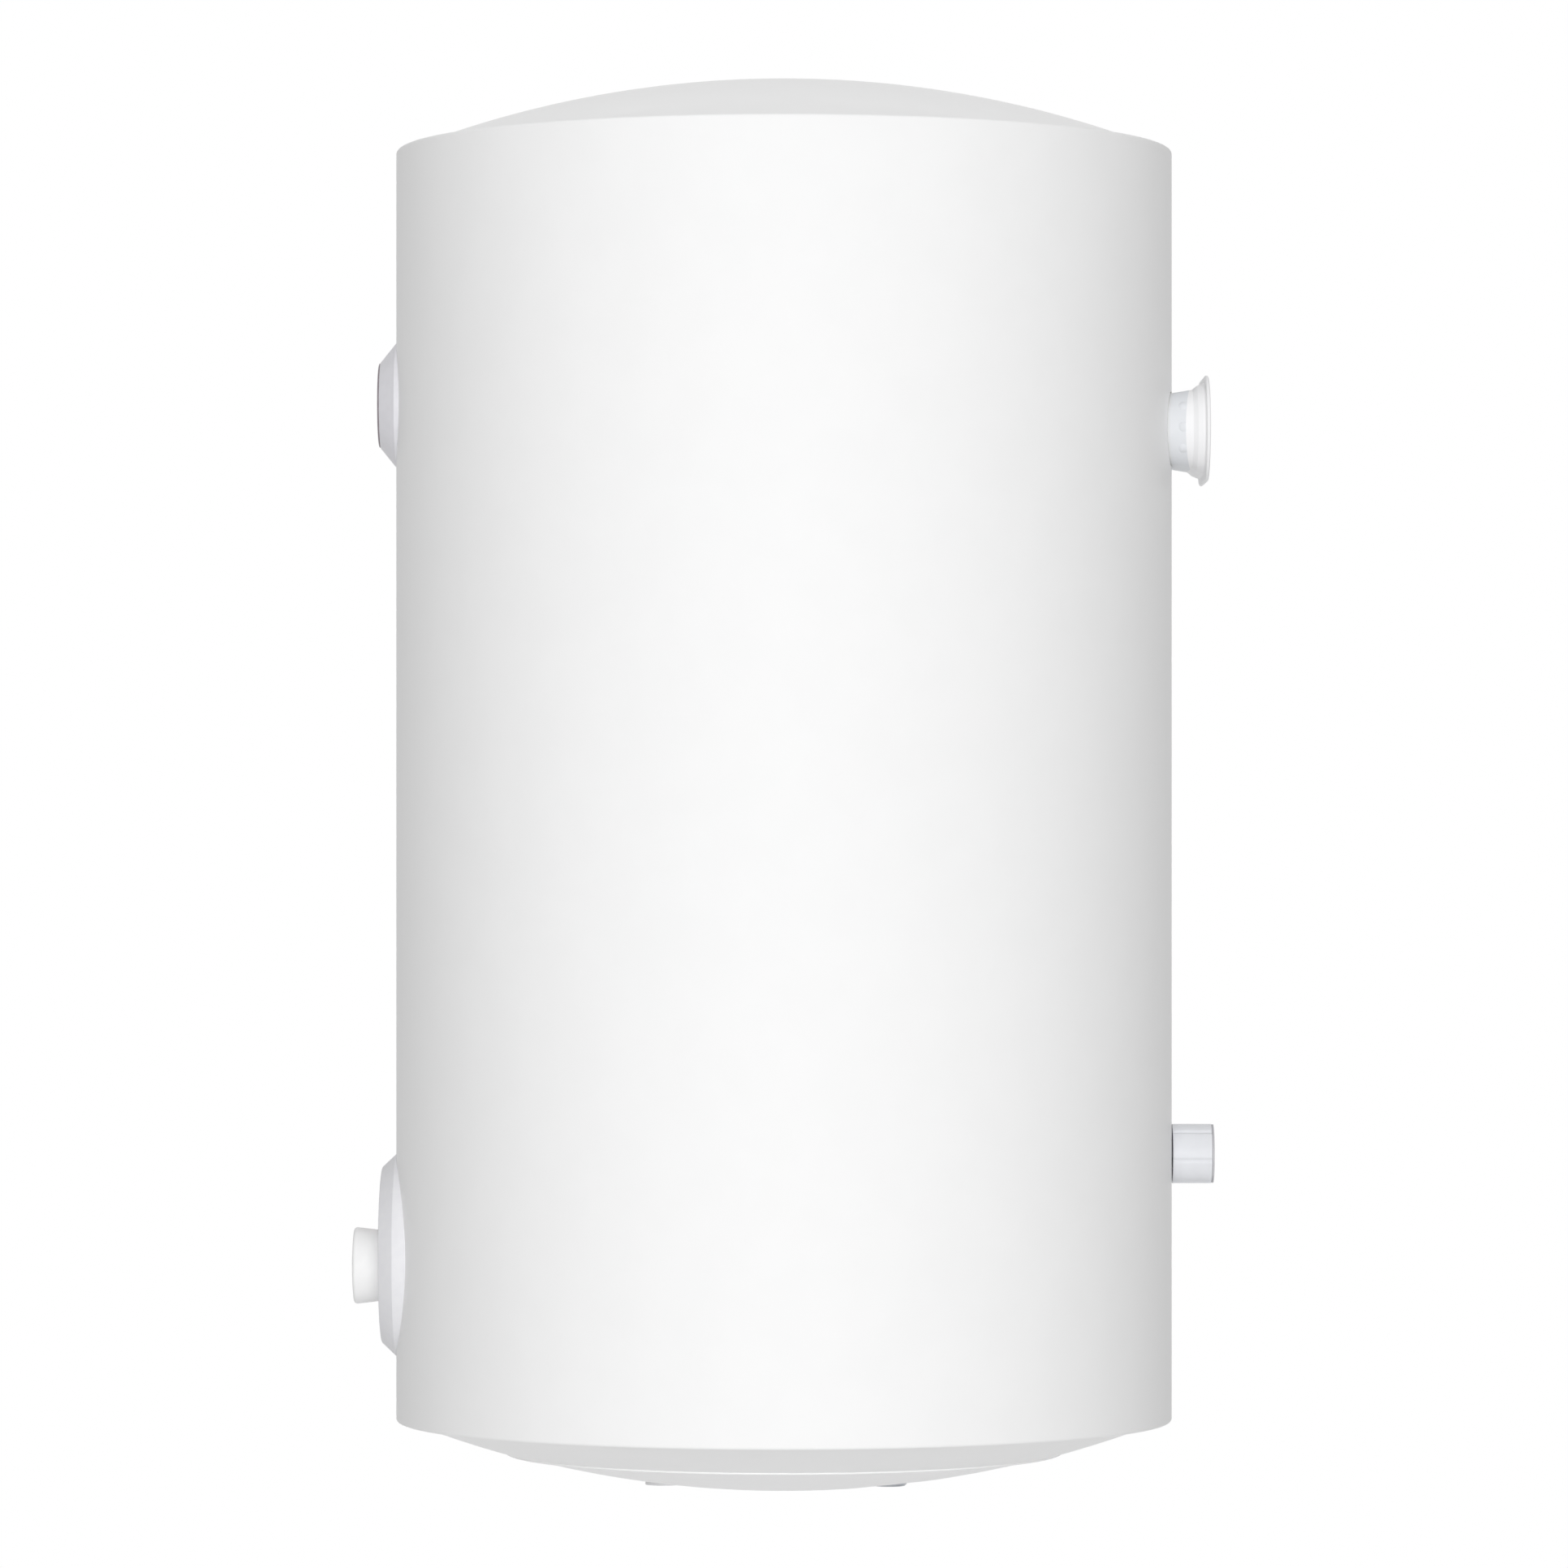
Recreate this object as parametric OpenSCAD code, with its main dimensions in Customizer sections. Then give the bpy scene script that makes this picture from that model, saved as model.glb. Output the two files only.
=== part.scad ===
// Wall-hung electric storage water heater: a round insulated tank with a bimetal dial thermometer
// and a round service cover on the front, a pressed hanging bracket and an adjustable spacer at the
// back, and two threaded water stubs in a well under the bottom cap.
//
// +Z is up, -Y is the front and +Y is the wall. The origin is the middle of the two slots of the
// hanging bracket, in the bracket's back face. Each piece is drawn round the tank axis, with z = 0 at
// the bottom rim of the casing, and placed() moves it to the origin above.

/* [Casing] */
// Outer diameter of the casing
casing_d = 450; // [400:1:540]
// Height of the casing between its two rims
casing_h = 736; // [620:1:900]
// Thickness of the casing sheet
casing_t = 1; // [0.8:0.1:1.4]
// Width of each rim, which is rolled over the edge of an end cover
rim_w = 7; // [5:0.5:10]
// Corner radius of the rolled rims
rim_fillet = 2; // [1.5:0.1:3]
// Rise of each domed end above its rim
dome_rise = 40; // [34:1:56]
// Thickness of the end cover sheet
cover_sheet_t = 1; // [0.8:0.1:1.4]

/* [Bottom cap] */
// Diameter of the bottom cap
cap_d = 318; // [290:1:350]
// Gap between the cap's edge and the cover's rolled lip
cap_gap = 1; // [0.5:0.1:2]
// Depth by which the cap lies inside the cover's dome
cap_sink = 0.8; // [0.3:0.1:1.5]
// Wall of the cap
cap_t = 2.2; // [1.6:0.1:3]
// Radius of the rolled lip that frames the cap
lip_r = 1.1; // [0.8:0.1:1.6]
// Width of the hidden ledge that the cap is screwed to
ledge_w = 14; // [12:1:18]

/* [Inner tank] */
// Thickness of the foam between the tank and the casing
foam_t = 32; // [28:1:40]
// Wall of the inner tank
tank_t = 2; // [1.5:0.1:3]
// Rise of each end of the inner tank
tank_dome_rise = 38; // [30:1:46]
// Distance from each casing rim to the straight part of the tank
tank_end_gap = 48; // [44:1:56]

/* [Water connections] */
// Distance between the two water stubs
stub_spacing = 100; // [84:1:110]
// Distance of the stubs behind the tank axis
stub_back = 60; // [50:1:70]
// Outer diameter of the stub thread, G 1/2
stub_d = 20.955; // [20.955, 26.441]
// Bore of the stubs
stub_bore_d = 15; // [12:0.5:16]
// Length of the stubs below the ceiling of the well
stub_reach = 28; // [24:1:30]
// Half the width of the well
well_half_w = 22; // [20:1:26]
// Height of the well's ceiling above the lowest point of the dome
well_depth = 34; // [30:1:36]
// Bore of the supply cable's gland
gland_bore_d = 9; // [6:0.5:11]

/* [Heater flange] */
// Height of the service opening's centre above the bottom rim
service_z = 95.9; // [90:0.1:130]
// Diameter of the flange seat on the tank
seat_d = 92; // [88:1:96]
// Inner diameter of the flange seat
seat_bore_d = 60; // [56:1:62]
// Height of the flange seat above the tank wall
seat_h = 7; // [6:0.5:9]
// Diameter of the circle of flange studs
stud_circle_d = 79; // [76:1:80]
// Thickness of the heater flange
flange_t = 4; // [3:0.5:5]
// Length of the heating element inside the tank
element_l = 265; // [180:5:300]
// Diameter of the heating element's tube
element_d = 8.4; // [6.5:0.1:9]
// Diameter of the sacrificial anode rod
anode_d = 20; // [16:0.5:22]
// Length of the sacrificial anode rod
anode_l = 230; // [150:5:300]

/* [Service cover and knob] */
// Diameter of the service cover where it meets the casing
cover_d = 117.6; // [112:0.1:126]
// Diameter of the service cover's flat face
cover_face_d = 101.8; // [98:0.1:108]
// Height of the service cover's face above the casing
cover_h = 8.3; // [7.5:0.1:11]
// Wall of the service cover
cover_wall = 2.2; // [1.8:0.1:2.8]
// Diameter of the control knob
knob_d = 44.4; // [36:0.1:50]
// Length of the knob's straight side
knob_side = 14.2; // [11:0.1:20]
// Rise of the knob's domed end, corner radius included
knob_end = 3.2; // [2.6:0.1:5]
// Distance of the knob's axis below the cover's centre
knob_drop = 6.2; // [4:0.1:9]

/* [Thermometer] */
// Height of the thermometer above the bottom rim
dial_z = 589.3; // [450:0.1:600]
// Diameter of the thermometer bezel where it meets the casing
bezel_d = 72.7; // [66:0.1:80]
// Diameter of the bezel's front edge
bezel_face_d = 50; // [46:0.1:56]
// Height of the bezel above the casing
bezel_h = 9.2; // [8:0.1:12]
// Rise of the domed lens above the bezel
lens_rise = 1.5; // [1:0.1:2.5]
// Length of the thermometer's stem inside the tank
stem_l = 42; // [30:1:60]

/* [Hanging bracket] */
// Height of the bracket's slots above the bottom rim
bracket_z = 574.4; // [450:0.1:590]
// Distance from the casing to the bracket's back face
bracket_reach = 20; // [18:0.5:26]
// Width of the bracket's back plate
bracket_w = 110; // [104:1:130]
// Height of the bracket's back plate
bracket_h = 61.4; // [60:0.1:66]
// Distance between the centres of the two slots
slot_spacing = 52; // [48:1:56]
// End-to-end length of a slot
slot_l = 22; // [18:1:24]
// Width of a slot
slot_w = 11; // [8:0.5:12]

/* [Spacer] */
// Height of the spacer above the bottom rim
spacer_z = 154.7; // [110:0.1:300]
// Diameter of the spacer
spacer_d = 34.5; // [30:0.1:40]
// Distance from the casing to the spacer's end, screwed right in
spacer_reach = 24.4; // [22:0.1:32]
// Diameter of the spacer's stud
spacer_stud_d = 10; // [8, 10]

/* [Fits] */
// Radial clearance of a part that turns or slides on another
running_fit = 0.05; // [0.03:0.01:0.08]
// Clearance between parts that only lie beside each other
free_gap = 0.3; // [0.2:0.05:0.5]

/* [Hidden] */
$fn = 96;

// Lengths past a face that a cut runs, so that it leaves no skin
past = 1;
// Facets round the large domes
dome_fn = 240;
// How far the pieces of one weld or seam reach into each other
seam = 0.01;

casing_r = casing_d / 2;
dome_base_r = casing_r - rim_w;
tank_r = casing_r - casing_t - foam_t;
tank_low = tank_end_gap;
tank_high = casing_h - tank_end_gap;

// Radius of the sphere whose cap has this base radius and rise
function cap_sphere(base_r, rise) = (base_r * base_r + rise * rise) / (2 * rise);

// Height of a sphere's surface above its lowest point, at a distance from its axis
function bowl(sphere_r, r) = sphere_r - sqrt(sphere_r * sphere_r - r * r);

dome_sphere = cap_sphere(dome_base_r, dome_rise + casing_t);
tank_sphere = cap_sphere(tank_r, tank_dome_rise);

// Bottom cap, its lip and its ledge
cap_r = cap_d / 2;
lip_inner_r = cap_r + cap_gap;
lip_z = -dome_rise + bowl(dome_sphere, lip_inner_r);
ledge_t = cover_sheet_t;
ledge_z = lip_z + 4;
cap_screw_r = cap_r - ledge_w / 2;
cap_screw_z = -dome_rise + cap_sink + bowl(dome_sphere, cap_screw_r);
cap_screw_d = 3.5;
cap_screw_head_d = 7;
cap_screw_head_h = 1.4;
cap_screw_seat = cap_screw_z + cap_screw_head_h + 0.4;
cap_screw_tip = 5;
cap_post_wall = 1.4;
head_gap = 0.2;
slot_across = 0.8;
slot_into = 0.8;

// Water connections
stub_r = stub_d / 2;
pipe_r = stub_r + 0.2;
thread_l = 18;
thread_chamfer = 1;
well_ceiling = -dome_rise + well_depth;
foam_floor = 2;
stub_tip = well_ceiling - stub_reach;
ring_h = 3.5;
ring_w = 3;
standpipe_d = 12;
standpipe_t = 0.8;
diffuser_h = 26;
gland_front = 70;
gland_wall = 3;
gland_h = 18;
gland_flange = 2.8;
gland_rim = 3;
gland_proud = 2.4;
gland_nut_h = 5;
gland_z = -dome_rise + bowl(dome_sphere, gland_front) + cap_sink - gland_proud;
conduit_d = 12;
conduit_t = 1.2;
conduit_x = -25;

// Distances of the faces in front of the tank, measured from the tank axis
gasket_t = 2;
nut_h = 5;
plate_t = 1;
seat_face = tank_r + seat_h;
gasket_face = seat_face + gasket_t;
flange_face = gasket_face + flange_t;
nut_face = flange_face + nut_h;
plate_face = nut_face + plate_t;
cover_face = casing_r + cover_h;
cover_inner = cover_face - cover_wall;
body_room = 4.1;
body_front = cover_inner - body_room;

// Heater flange and what it carries; places are [across, up] from the flange's centre
flange_d = seat_d - 2;
stud_d = 6;
stud_count = 5;
nut_flats = 10;
stud_end = nut_face + nut_h + plate_t + 1.5;
stud_sunk = 5;
element_half = 12;
element_up = 18;
pocket_place = [-18, -4];
pocket_d = 9;
pocket_t = 0.8;
pocket_l = 200;
bulb_l = 90;
capillary_r = 1;
capillary_side = 12;
anode_place = [6, -10];
anode_pin_d = 8;
anode_nut_flats = 13;
bead_d = 10;
bead_h = 7;
tab_l = 6;

// Service compartment
well_wall = 1.5;
service_r = 50.5;
plate_r = 46;
window = [40, 15];
cover_screw_place = [42.5, 4];
cover_screw_d = 3.2;
cover_screw_head_d = 6.4;
cover_screw_head_h = 1.6;
cover_screw_sink = 1;
post_r = 4.4;
post_low = plate_face + 2;
post_high = casing_r - 2;
thermostat_size = [32, 26];
spindle_d = 6;
spindle_flat = 1.2;
spindle_seat = 6;
knob_corner = 2;
button_d = 5;
button_proud = 2;
button_travel = 1.5;
button_place = [10, -7.8];
body_screw_place = [-11.5, -9];
block_size = [32, 13];
block_up = 35.5;
block_depth = 10;
pole_pitch = 10;
lamp_up = 24;
lamp_d = 8;
lamp_flange = 10;
lamp_rise = 0.6;
lamp_l = 8;
lens_wall = 1;
lens_skirt = 3;
wire_d = 2.4;
wire_sides = 8;
tray_screw_d = 3;
tray_head_h = 1.6;

// Thermometer; distances from the tank axis unless they are sizes
bezel_front = casing_r + bezel_h;
bezel_wall = 2;
lens_d = bezel_face_d - 4;
lens_t = 1.4;
case_d = lens_d - 1;
case_t = 1;
case_back = casing_r - 8;
dial_plate_t = 0.6;
dial_face = bezel_front - 4;
pointer_t = 0.5;
pointer_lift = 1;
pointer_l = 17;
pointer_d = 1.6;
stem_d = 8;
stem_t = 0.8;
stem_end = tank_r - stem_l;
spiral_turns = 3;
spiral_strip = 0.5;

// Hanging bracket: an oblong pressing, whose profile is [distance from its centre line, reach]
bracket_t = 2.2;
bracket_half = (bracket_w - bracket_h) / 2;
lip_reach = bracket_reach - bracket_t;
lip_edge = bracket_h / 2;
joint_reach = 10.6;
neck_edge = lip_edge - 8.2;
neck_taper = 0.165;
neck_low = tank_r - 12;
shoulder = [neck_edge + 2.2, joint_reach + 2.6];
throat = [neck_edge + 3.5, lip_reach - 1.6];
throat_r = 1.6;
saddle_t = 3;
saddle_h = 150;
saddle_half_w = 70;
dimple_r = 5;
dimple_rise = 0.7;
dimple_pitch = 13;

// Spacer; distances from the tank axis unless they are sizes
spacer_r = spacer_d / 2;
boss_d = 18;
boss_h = 12;
spacer_foot_t = 1;
spacer_start = casing_r + free_gap;
spacer_end = casing_r + spacer_reach;
sleeve_end = spacer_end - spacer_foot_t - free_gap / 2;
sleeve_wall = 2.4;
sleeve_hub_d = 17;
sleeve_cap = 5;
pivot_d = 8;
pivot_l = sleeve_cap - 0.5;
spacer_stud_end = sleeve_end - sleeve_cap - 2;
rib_t = 1.6;
rib_count = 6;

// Places

module placed() {
    translate([0, -(casing_r + bracket_reach), -bracket_z]) children();
}

// Frame on the front at a height: x is across, y is up and z is the distance from the tank axis
module on_front(height) {
    translate([0, 0, height]) rotate([90, 0, 0]) children();
}

// The same on the side of the wall
module on_wall(height) {
    translate([0, 0, height]) rotate([90, 0, 180]) children();
}

module on_flange() {
    on_front(service_z) children();
}

module on_knob() {
    on_front(service_z - knob_drop) children();
}

// Shapes

module tube(r, bore_r, low, high) {
    difference() {
        translate([0, 0, low]) cylinder(r = r, h = high - low);
        translate([0, 0, low - past]) cylinder(r = bore_r, h = high - low + 2 * past);
    }
}

module rod(r, low, high) {
    translate([0, 0, low]) cylinder(r = r, h = high - low);
}

module hexagon(flats, low, high) {
    translate([0, 0, low]) cylinder(r = flats / sqrt(3), h = high - low, $fn = 6);
}

// The cut of a cross-head screw
module cross_slot(l, low, high) {
    for (turn = [0, 90]) {
        rotate([0, 0, turn]) translate([-l / 2, -slot_across / 2, low]) cube([l, slot_across, high - low]);
    }
}

// A cylinder round the tank axis, seen from a frame on the front or on the wall
module coaxial(r) {
    rotate([90, 0, 0]) cylinder(r = r, h = 2 * casing_h, center = true);
}

// A profile carried round an oblong path: two half turns and the straights between them
module oblong(half_l) {
    for (side = [-1, 1]) {
        translate([side * half_l, 0, 0]) rotate([0, 0, -90 * side]) rotate_extrude(angle = 180) children();
    }
    rotate([90, 0, 90]) linear_extrude(2 * half_l, center = true) {
        children();
        mirror([1, 0]) children();
    }
}

module oblong_block(half_l, half_w, low, high) {
    oblong(half_l) translate([0, low]) square([half_w, high - low]);
}

function unit(v) = v / norm(v);

// Direction of a path at one of its points: along it at its ends, and halfway at a corner
function heading(points, i) =
    i == 0 ? unit(points[1] - points[0]) :
    i == len(points) - 1 ? unit(points[i] - points[i - 1]) :
    unit(unit(points[i] - points[i - 1]) + unit(points[i + 1] - points[i]));

function wire_ring(centre, forward) =
    let (side = unit(cross(forward, [1, 0, 0])), up = cross(side, forward))
    [for (k = [0 : wire_sides - 1])
        let (turn = 360 * k / wire_sides)
        centre + wire_d / 2 * (cos(turn) * side + sin(turn) * up)];

// A wire swept through a list of points, none of whose stretches runs exactly along x
module wire(points) {
    n = wire_sides;
    last = len(points) - 1;
    rings = [for (i = [0 : last]) each wire_ring(points[i], heading(points, i))];
    walls = [for (i = [0 : last - 1]) for (k = [0 : n - 1])
        let (next = (k + 1) % n)
        [i * n + k, i * n + next, (i + 1) * n + next, (i + 1) * n + k]];
    ends = [[for (k = [n - 1 : -1 : 0]) k], [for (k = [0 : n - 1]) last * n + k]];
    polyhedron(rings, concat(walls, ends));
}

// Casing and end covers

// The casing's section: a wall with both ends turned in and rounded
module casing_section() {
    difference() {
        union() {
            translate([dome_base_r, 0]) square([rim_w - rim_fillet, casing_h]);
            translate([dome_base_r, rim_fillet]) square([rim_w, casing_h - 2 * rim_fillet]);
            for (z = [rim_fillet, casing_h - rim_fillet]) {
                translate([casing_r - rim_fillet, z]) circle(r = rim_fillet);
            }
        }
        translate([0, casing_t]) square([casing_r - casing_t, casing_h - 2 * casing_t]);
    }
}

module casing() {
    color("white") placed() difference() {
        rotate_extrude() casing_section();
        on_front(service_z) rod(service_r, tank_r, casing_r + past);
        on_front(dial_z) rod(case_d / 2 + free_gap, tank_r, casing_r + past);
        on_wall(spacer_z) rod(boss_d / 2 + free_gap, tank_r, casing_r + past);
        on_wall(bracket_z) neck_solid(free_gap, tank_r, casing_r + past);
    }
}

// Section of a domed sheet with a flat edge, lying in x > 0 with its apex at y = dome_rise
module dome_section(inner_r) {
    intersection() {
        translate([0, dome_rise - dome_sphere]) difference() {
            circle(r = dome_sphere);
            circle(r = dome_sphere - cover_sheet_t);
        }
        translate([inner_r, -casing_t - cover_sheet_t]) {
            square([casing_r, dome_rise + 2 * casing_t + cover_sheet_t]);
        }
    }
    translate([dome_base_r - rim_w, -casing_t - cover_sheet_t]) {
        difference() {
            square([2 * rim_w - casing_t - free_gap, cover_sheet_t]);
            translate([0, -past]) square([rim_w - cover_sheet_t, cover_sheet_t + 2 * past]);
        }
    }
}

module top_cover() {
    color("gainsboro") placed() translate([0, 0, casing_h]) rotate_extrude() difference() {
        dome_section(0);
        translate([dome_base_r + seam, -casing_t]) square([casing_r, dome_rise]);
    }
}

module bottom_cover() {
    color("gainsboro") placed() {
        difference() {
            rotate_extrude() {
                difference() {
                    mirror([0, 1]) dome_section(lip_inner_r);
                    translate([dome_base_r + seam, casing_t - dome_rise]) square([casing_r, dome_rise]);
                }
                translate([lip_inner_r + lip_r, lip_z + lip_r / 2]) circle(r = lip_r);
                translate([lip_inner_r, lip_z + lip_r / 2]) square([cover_sheet_t, ledge_z - lip_z]);
                translate([lip_inner_r - ledge_w, ledge_z]) square([ledge_w + cover_sheet_t, ledge_t]);
            }
            at_cap_screws() rod(cap_screw_d / 2, ledge_z - past, ledge_z + ledge_t + past);
        }
    }
}

module at_cap_screws() {
    for (side = [-1, 1]) {
        translate([0, side * cap_screw_r, 0]) children();
    }
}

// The cap's dome as a ball that its walls end on
module cap_ball(inset) {
    translate([0, 0, dome_sphere - dome_rise + cap_sink]) sphere(r = dome_sphere - inset, $fn = dome_fn);
}

module cap_section() {
    intersection() {
        translate([0, dome_sphere - dome_rise + cap_sink]) difference() {
            circle(r = dome_sphere);
            circle(r = dome_sphere - cap_t);
        }
        translate([0, -dome_rise]) square([cap_r, dome_rise]);
    }
}

module bottom_cap() {
    half = stub_spacing / 2;
    gland_r = gland_bore_d / 2 + gland_wall;
    color("whitesmoke") placed() difference() {
        union() {
            rotate_extrude() cap_section();
            intersection() {
                union() {
                    translate([0, stub_back, 0]) {
                        oblong_block(half, well_half_w + cap_t, -dome_rise, well_ceiling + cap_t);
                    }
                    tube(cap_r, cap_r - cap_t, -dome_rise, ledge_z);
                    at_cap_screws() rod(cap_screw_head_d / 2 + cap_post_wall, -dome_rise, ledge_z);
                }
                cap_ball(0);
            }
        }
        translate([0, stub_back, 0]) oblong_block(half, well_half_w, -dome_rise - past, well_ceiling);
        at_stubs() rod(pipe_r + free_gap, well_ceiling - past, foam_floor);
        translate([0, -gland_front, 0]) {
            rod(gland_r, -dome_rise - past, foam_floor);
            rod(gland_r + gland_rim + head_gap, -dome_rise - past, gland_z + gland_flange);
        }
        at_cap_screws() {
            rod(cap_screw_d / 2, -dome_rise, ledge_z + past);
            rod(cap_screw_head_d / 2 + head_gap, -dome_rise, cap_screw_seat);
        }
    }
}

module bottom_cap_screws() {
    head_high = cap_screw_seat;
    head_low = head_high - cap_screw_head_h;
    color("silver") placed() at_cap_screws() difference() {
        union() {
            rod(cap_screw_d / 2, head_high, ledge_z + ledge_t + cap_screw_tip);
            rod(cap_screw_head_d / 2, head_low, head_high);
        }
        cross_slot(cap_screw_head_d * 0.6, head_low - past, head_low + slot_into);
    }
}

// Insulation and inner tank

// Section of what the tank's wall and its two pressed ends enclose, drawn in by an inset
module tank_section(inset) {
    ball_r = tank_sphere - inset;
    intersection() {
        square([tank_r - inset, casing_h]);
        translate([0, tank_low - tank_dome_rise + tank_sphere]) circle(r = ball_r, $fn = dome_fn);
        translate([0, tank_high + tank_dome_rise - tank_sphere]) circle(r = ball_r, $fn = dome_fn);
    }
}

// Section of the foam block, which fills the casing up to the top cover
module foam_section() {
    translate([0, foam_floor]) {
        square([casing_r - casing_t, casing_h - foam_floor - casing_t - cover_sheet_t]);
    }
    intersection() {
        translate([0, casing_h + dome_rise - dome_sphere]) {
            circle(r = dome_sphere - cover_sheet_t, $fn = dome_fn);
        }
        translate([0, casing_h / 2]) square([dome_base_r - cover_sheet_t, casing_h]);
    }
}

module at_stubs() {
    for (side = [-1, 1]) {
        translate([side * stub_spacing / 2, stub_back, 0]) children();
    }
}

module insulation_foam() {
    color("khaki") placed() difference() {
        rotate_extrude() difference() {
            foam_section();
            tank_section(0);
        }
        at_stubs() rod(pipe_r, 0, tank_low);
        on_front(service_z) rod(service_r, tank_r / 2, casing_r);
        on_front(dial_z) {
            rod(case_d / 2, case_back, casing_r);
            rod(stem_d / 2, tank_r / 2, casing_r);
            rod(stem_d / 2 + stem_t + free_gap, tank_r / 2, tank_r + 3);
        }
        on_wall(spacer_z) rod(boss_d / 2, tank_r / 2, casing_r);
        on_wall(bracket_z) neck_solid(0, neck_low, casing_r);
        saddle_solid(past);
        translate([conduit_x, -conduit_y(), 0]) rod(conduit_d / 2, 0, service_z);
    }
}

module inner_tank() {
    color("cornflowerblue") placed() difference() {
        rotate_extrude() difference() {
            tank_section(0);
            tank_section(tank_t);
        }
        at_stubs() rod(pipe_r, 0, tank_low + tank_dome_rise);
        on_front(service_z) rod(seat_bore_d / 2, tank_r / 2, casing_r);
        on_front(dial_z) rod(stem_d / 2 + stem_t + free_gap, tank_r / 2, casing_r);
    }
}

// Water connections

// A steel pipe whose lower end is turned down to the thread's diameter
module water_stub() {
    bore_r = stub_bore_d / 2;
    rotate_extrude() polygon([
        [bore_r, stub_tip],
        [stub_r - thread_chamfer, stub_tip],
        [stub_r, stub_tip + thread_chamfer],
        [stub_r, stub_tip + thread_l],
        [pipe_r, stub_tip + thread_l],
        [pipe_r, tank_low],
        [bore_r, tank_low]
    ]);
}

module cold_inlet_stub() {
    color("silver") placed() translate([stub_spacing / 2, stub_back, 0]) water_stub();
}

module hot_outlet_stub() {
    color("silver") placed() translate([-stub_spacing / 2, stub_back, 0]) water_stub();
}

module colour_ring() {
    tube(pipe_r + ring_w, pipe_r + 0.1, well_ceiling - ring_h, well_ceiling);
}

module cold_ring() {
    color("royalblue") placed() translate([stub_spacing / 2, stub_back, 0]) colour_ring();
}

module hot_ring() {
    color("firebrick") placed() translate([-stub_spacing / 2, stub_back, 0]) colour_ring();
}

// A plastic cup over the end of the cold stub, with slots that spread the cold water sideways
module cold_diffuser() {
    r = stub_bore_d / 2;
    low = tank_low - 8;
    color("whitesmoke") placed() translate([stub_spacing / 2, stub_back, 0]) difference() {
        union() {
            tube(r, r - 1.5, low, tank_low + diffuser_h);
            rod(pipe_r + 4, tank_low + diffuser_h, tank_low + diffuser_h + 2);
        }
        for (turn = [0, 60, 120]) {
            rotate([0, 0, turn]) translate([-2 * r, -2.5, tank_low + 6]) cube([4 * r, 5, diffuser_h - 10]);
        }
    }
}

// The pipe that draws hot water from the top of the tank
module hot_standpipe() {
    top = tank_high;
    color("silver") placed() translate([-stub_spacing / 2, stub_back, 0]) {
        tube(standpipe_d / 2, standpipe_d / 2 - standpipe_t, tank_low - 12, top);
        tube(stub_bore_d / 2, standpipe_d / 2, tank_low - 12, tank_low - 4);
    }
}

module cable_gland() {
    r = gland_bore_d / 2 + gland_wall;
    nut_flats = 2 * (r + gland_rim) - 1;
    nut_edge = gland_front + nut_flats / sqrt(3);
    nut_low = -dome_rise + cap_sink + cap_t + bowl(dome_sphere - cap_t, nut_edge);
    color("dimgray") placed() translate([0, -gland_front, 0]) difference() {
        union() {
            rod(r, gland_z, gland_z + gland_h);
            rod(r + gland_rim, gland_z, gland_z + gland_flange);
            hexagon(nut_flats, nut_low, nut_low + gland_nut_h);
        }
        rod(gland_bore_d / 2, gland_z - past, gland_z + gland_h + past);
    }
}

function conduit_y() = (tank_r + casing_r) / 2;

module cable_conduit() {
    color("gray") placed() difference() {
        translate([conduit_x, -conduit_y(), 0]) {
            tube(conduit_d / 2, conduit_d / 2 - conduit_t, foam_floor, service_z);
        }
        on_front(service_z) rod(service_r, tank_r / 2, casing_r);
    }
}

// Heater flange

module at_studs(which) {
    for (i = which) {
        rotate([0, 0, 270 + i * 360 / stud_count]) translate([stud_circle_d / 2, 0, 0]) children();
    }
}

module at_all_studs() {
    at_studs([0 : stud_count - 1]) children();
}

module flange_seat() {
    color("slategray") placed() on_flange() difference() {
        tube(seat_d / 2, seat_bore_d / 2, tank_r / 2, seat_face);
        coaxial(tank_r);
        at_all_studs() rod(stud_d / 2, seat_face - stud_sunk, seat_face + past);
    }
}

module flange_studs() {
    color("silver") placed() on_flange() at_all_studs() rod(stud_d / 2, seat_face - stud_sunk, stud_end);
}

module flange_gasket() {
    color("black") placed() on_flange() {
        tube(stud_circle_d / 2 - stud_d / 2 - 0.5, seat_bore_d / 2 + 0.5, seat_face, gasket_face);
    }
}

module at_element_legs() {
    for (side = [-1, 1]) {
        translate([side * element_half, element_up, 0]) children();
    }
}

module heater_flange() {
    color("silver") placed() on_flange() difference() {
        rod(flange_d / 2, gasket_face, flange_face);
        at_all_studs() rod(stud_d / 2 + free_gap, gasket_face - past, flange_face + past);
        at_element_legs() rod(element_d / 2, gasket_face - past, flange_face + past);
        translate(pocket_place) rod(pocket_d / 2, gasket_face - past, flange_face + past);
        translate(anode_place) rod(anode_pin_d / 2, gasket_face - past, flange_face + past);
    }
}

module heating_element() {
    end = gasket_face - element_l;
    color("peru") placed() on_flange() {
        at_element_legs() rod(element_d / 2, end, flange_face);
        translate([0, element_up, end]) rotate([-90, 0, 0]) rotate_extrude(angle = 180) {
            translate([element_half, 0]) circle(d = element_d);
        }
    }
}

// Ceramic beads and flat terminals at the ends of the heating element
module element_terminals() {
    color("ivory") placed() on_flange() at_element_legs() {
        rod(bead_d / 2, flange_face, flange_face + bead_h);
        translate([-3.15, -0.4, flange_face + bead_h]) cube([6.3, 0.8, tab_l]);
    }
}

module sensor_pocket() {
    color("peru") placed() on_flange() translate(pocket_place) {
        tube(pocket_d / 2, pocket_d / 2 - pocket_t, gasket_face - pocket_l, flange_face);
        rod(pocket_d / 2, gasket_face - pocket_l - 1.5, gasket_face - pocket_l);
    }
}

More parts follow.
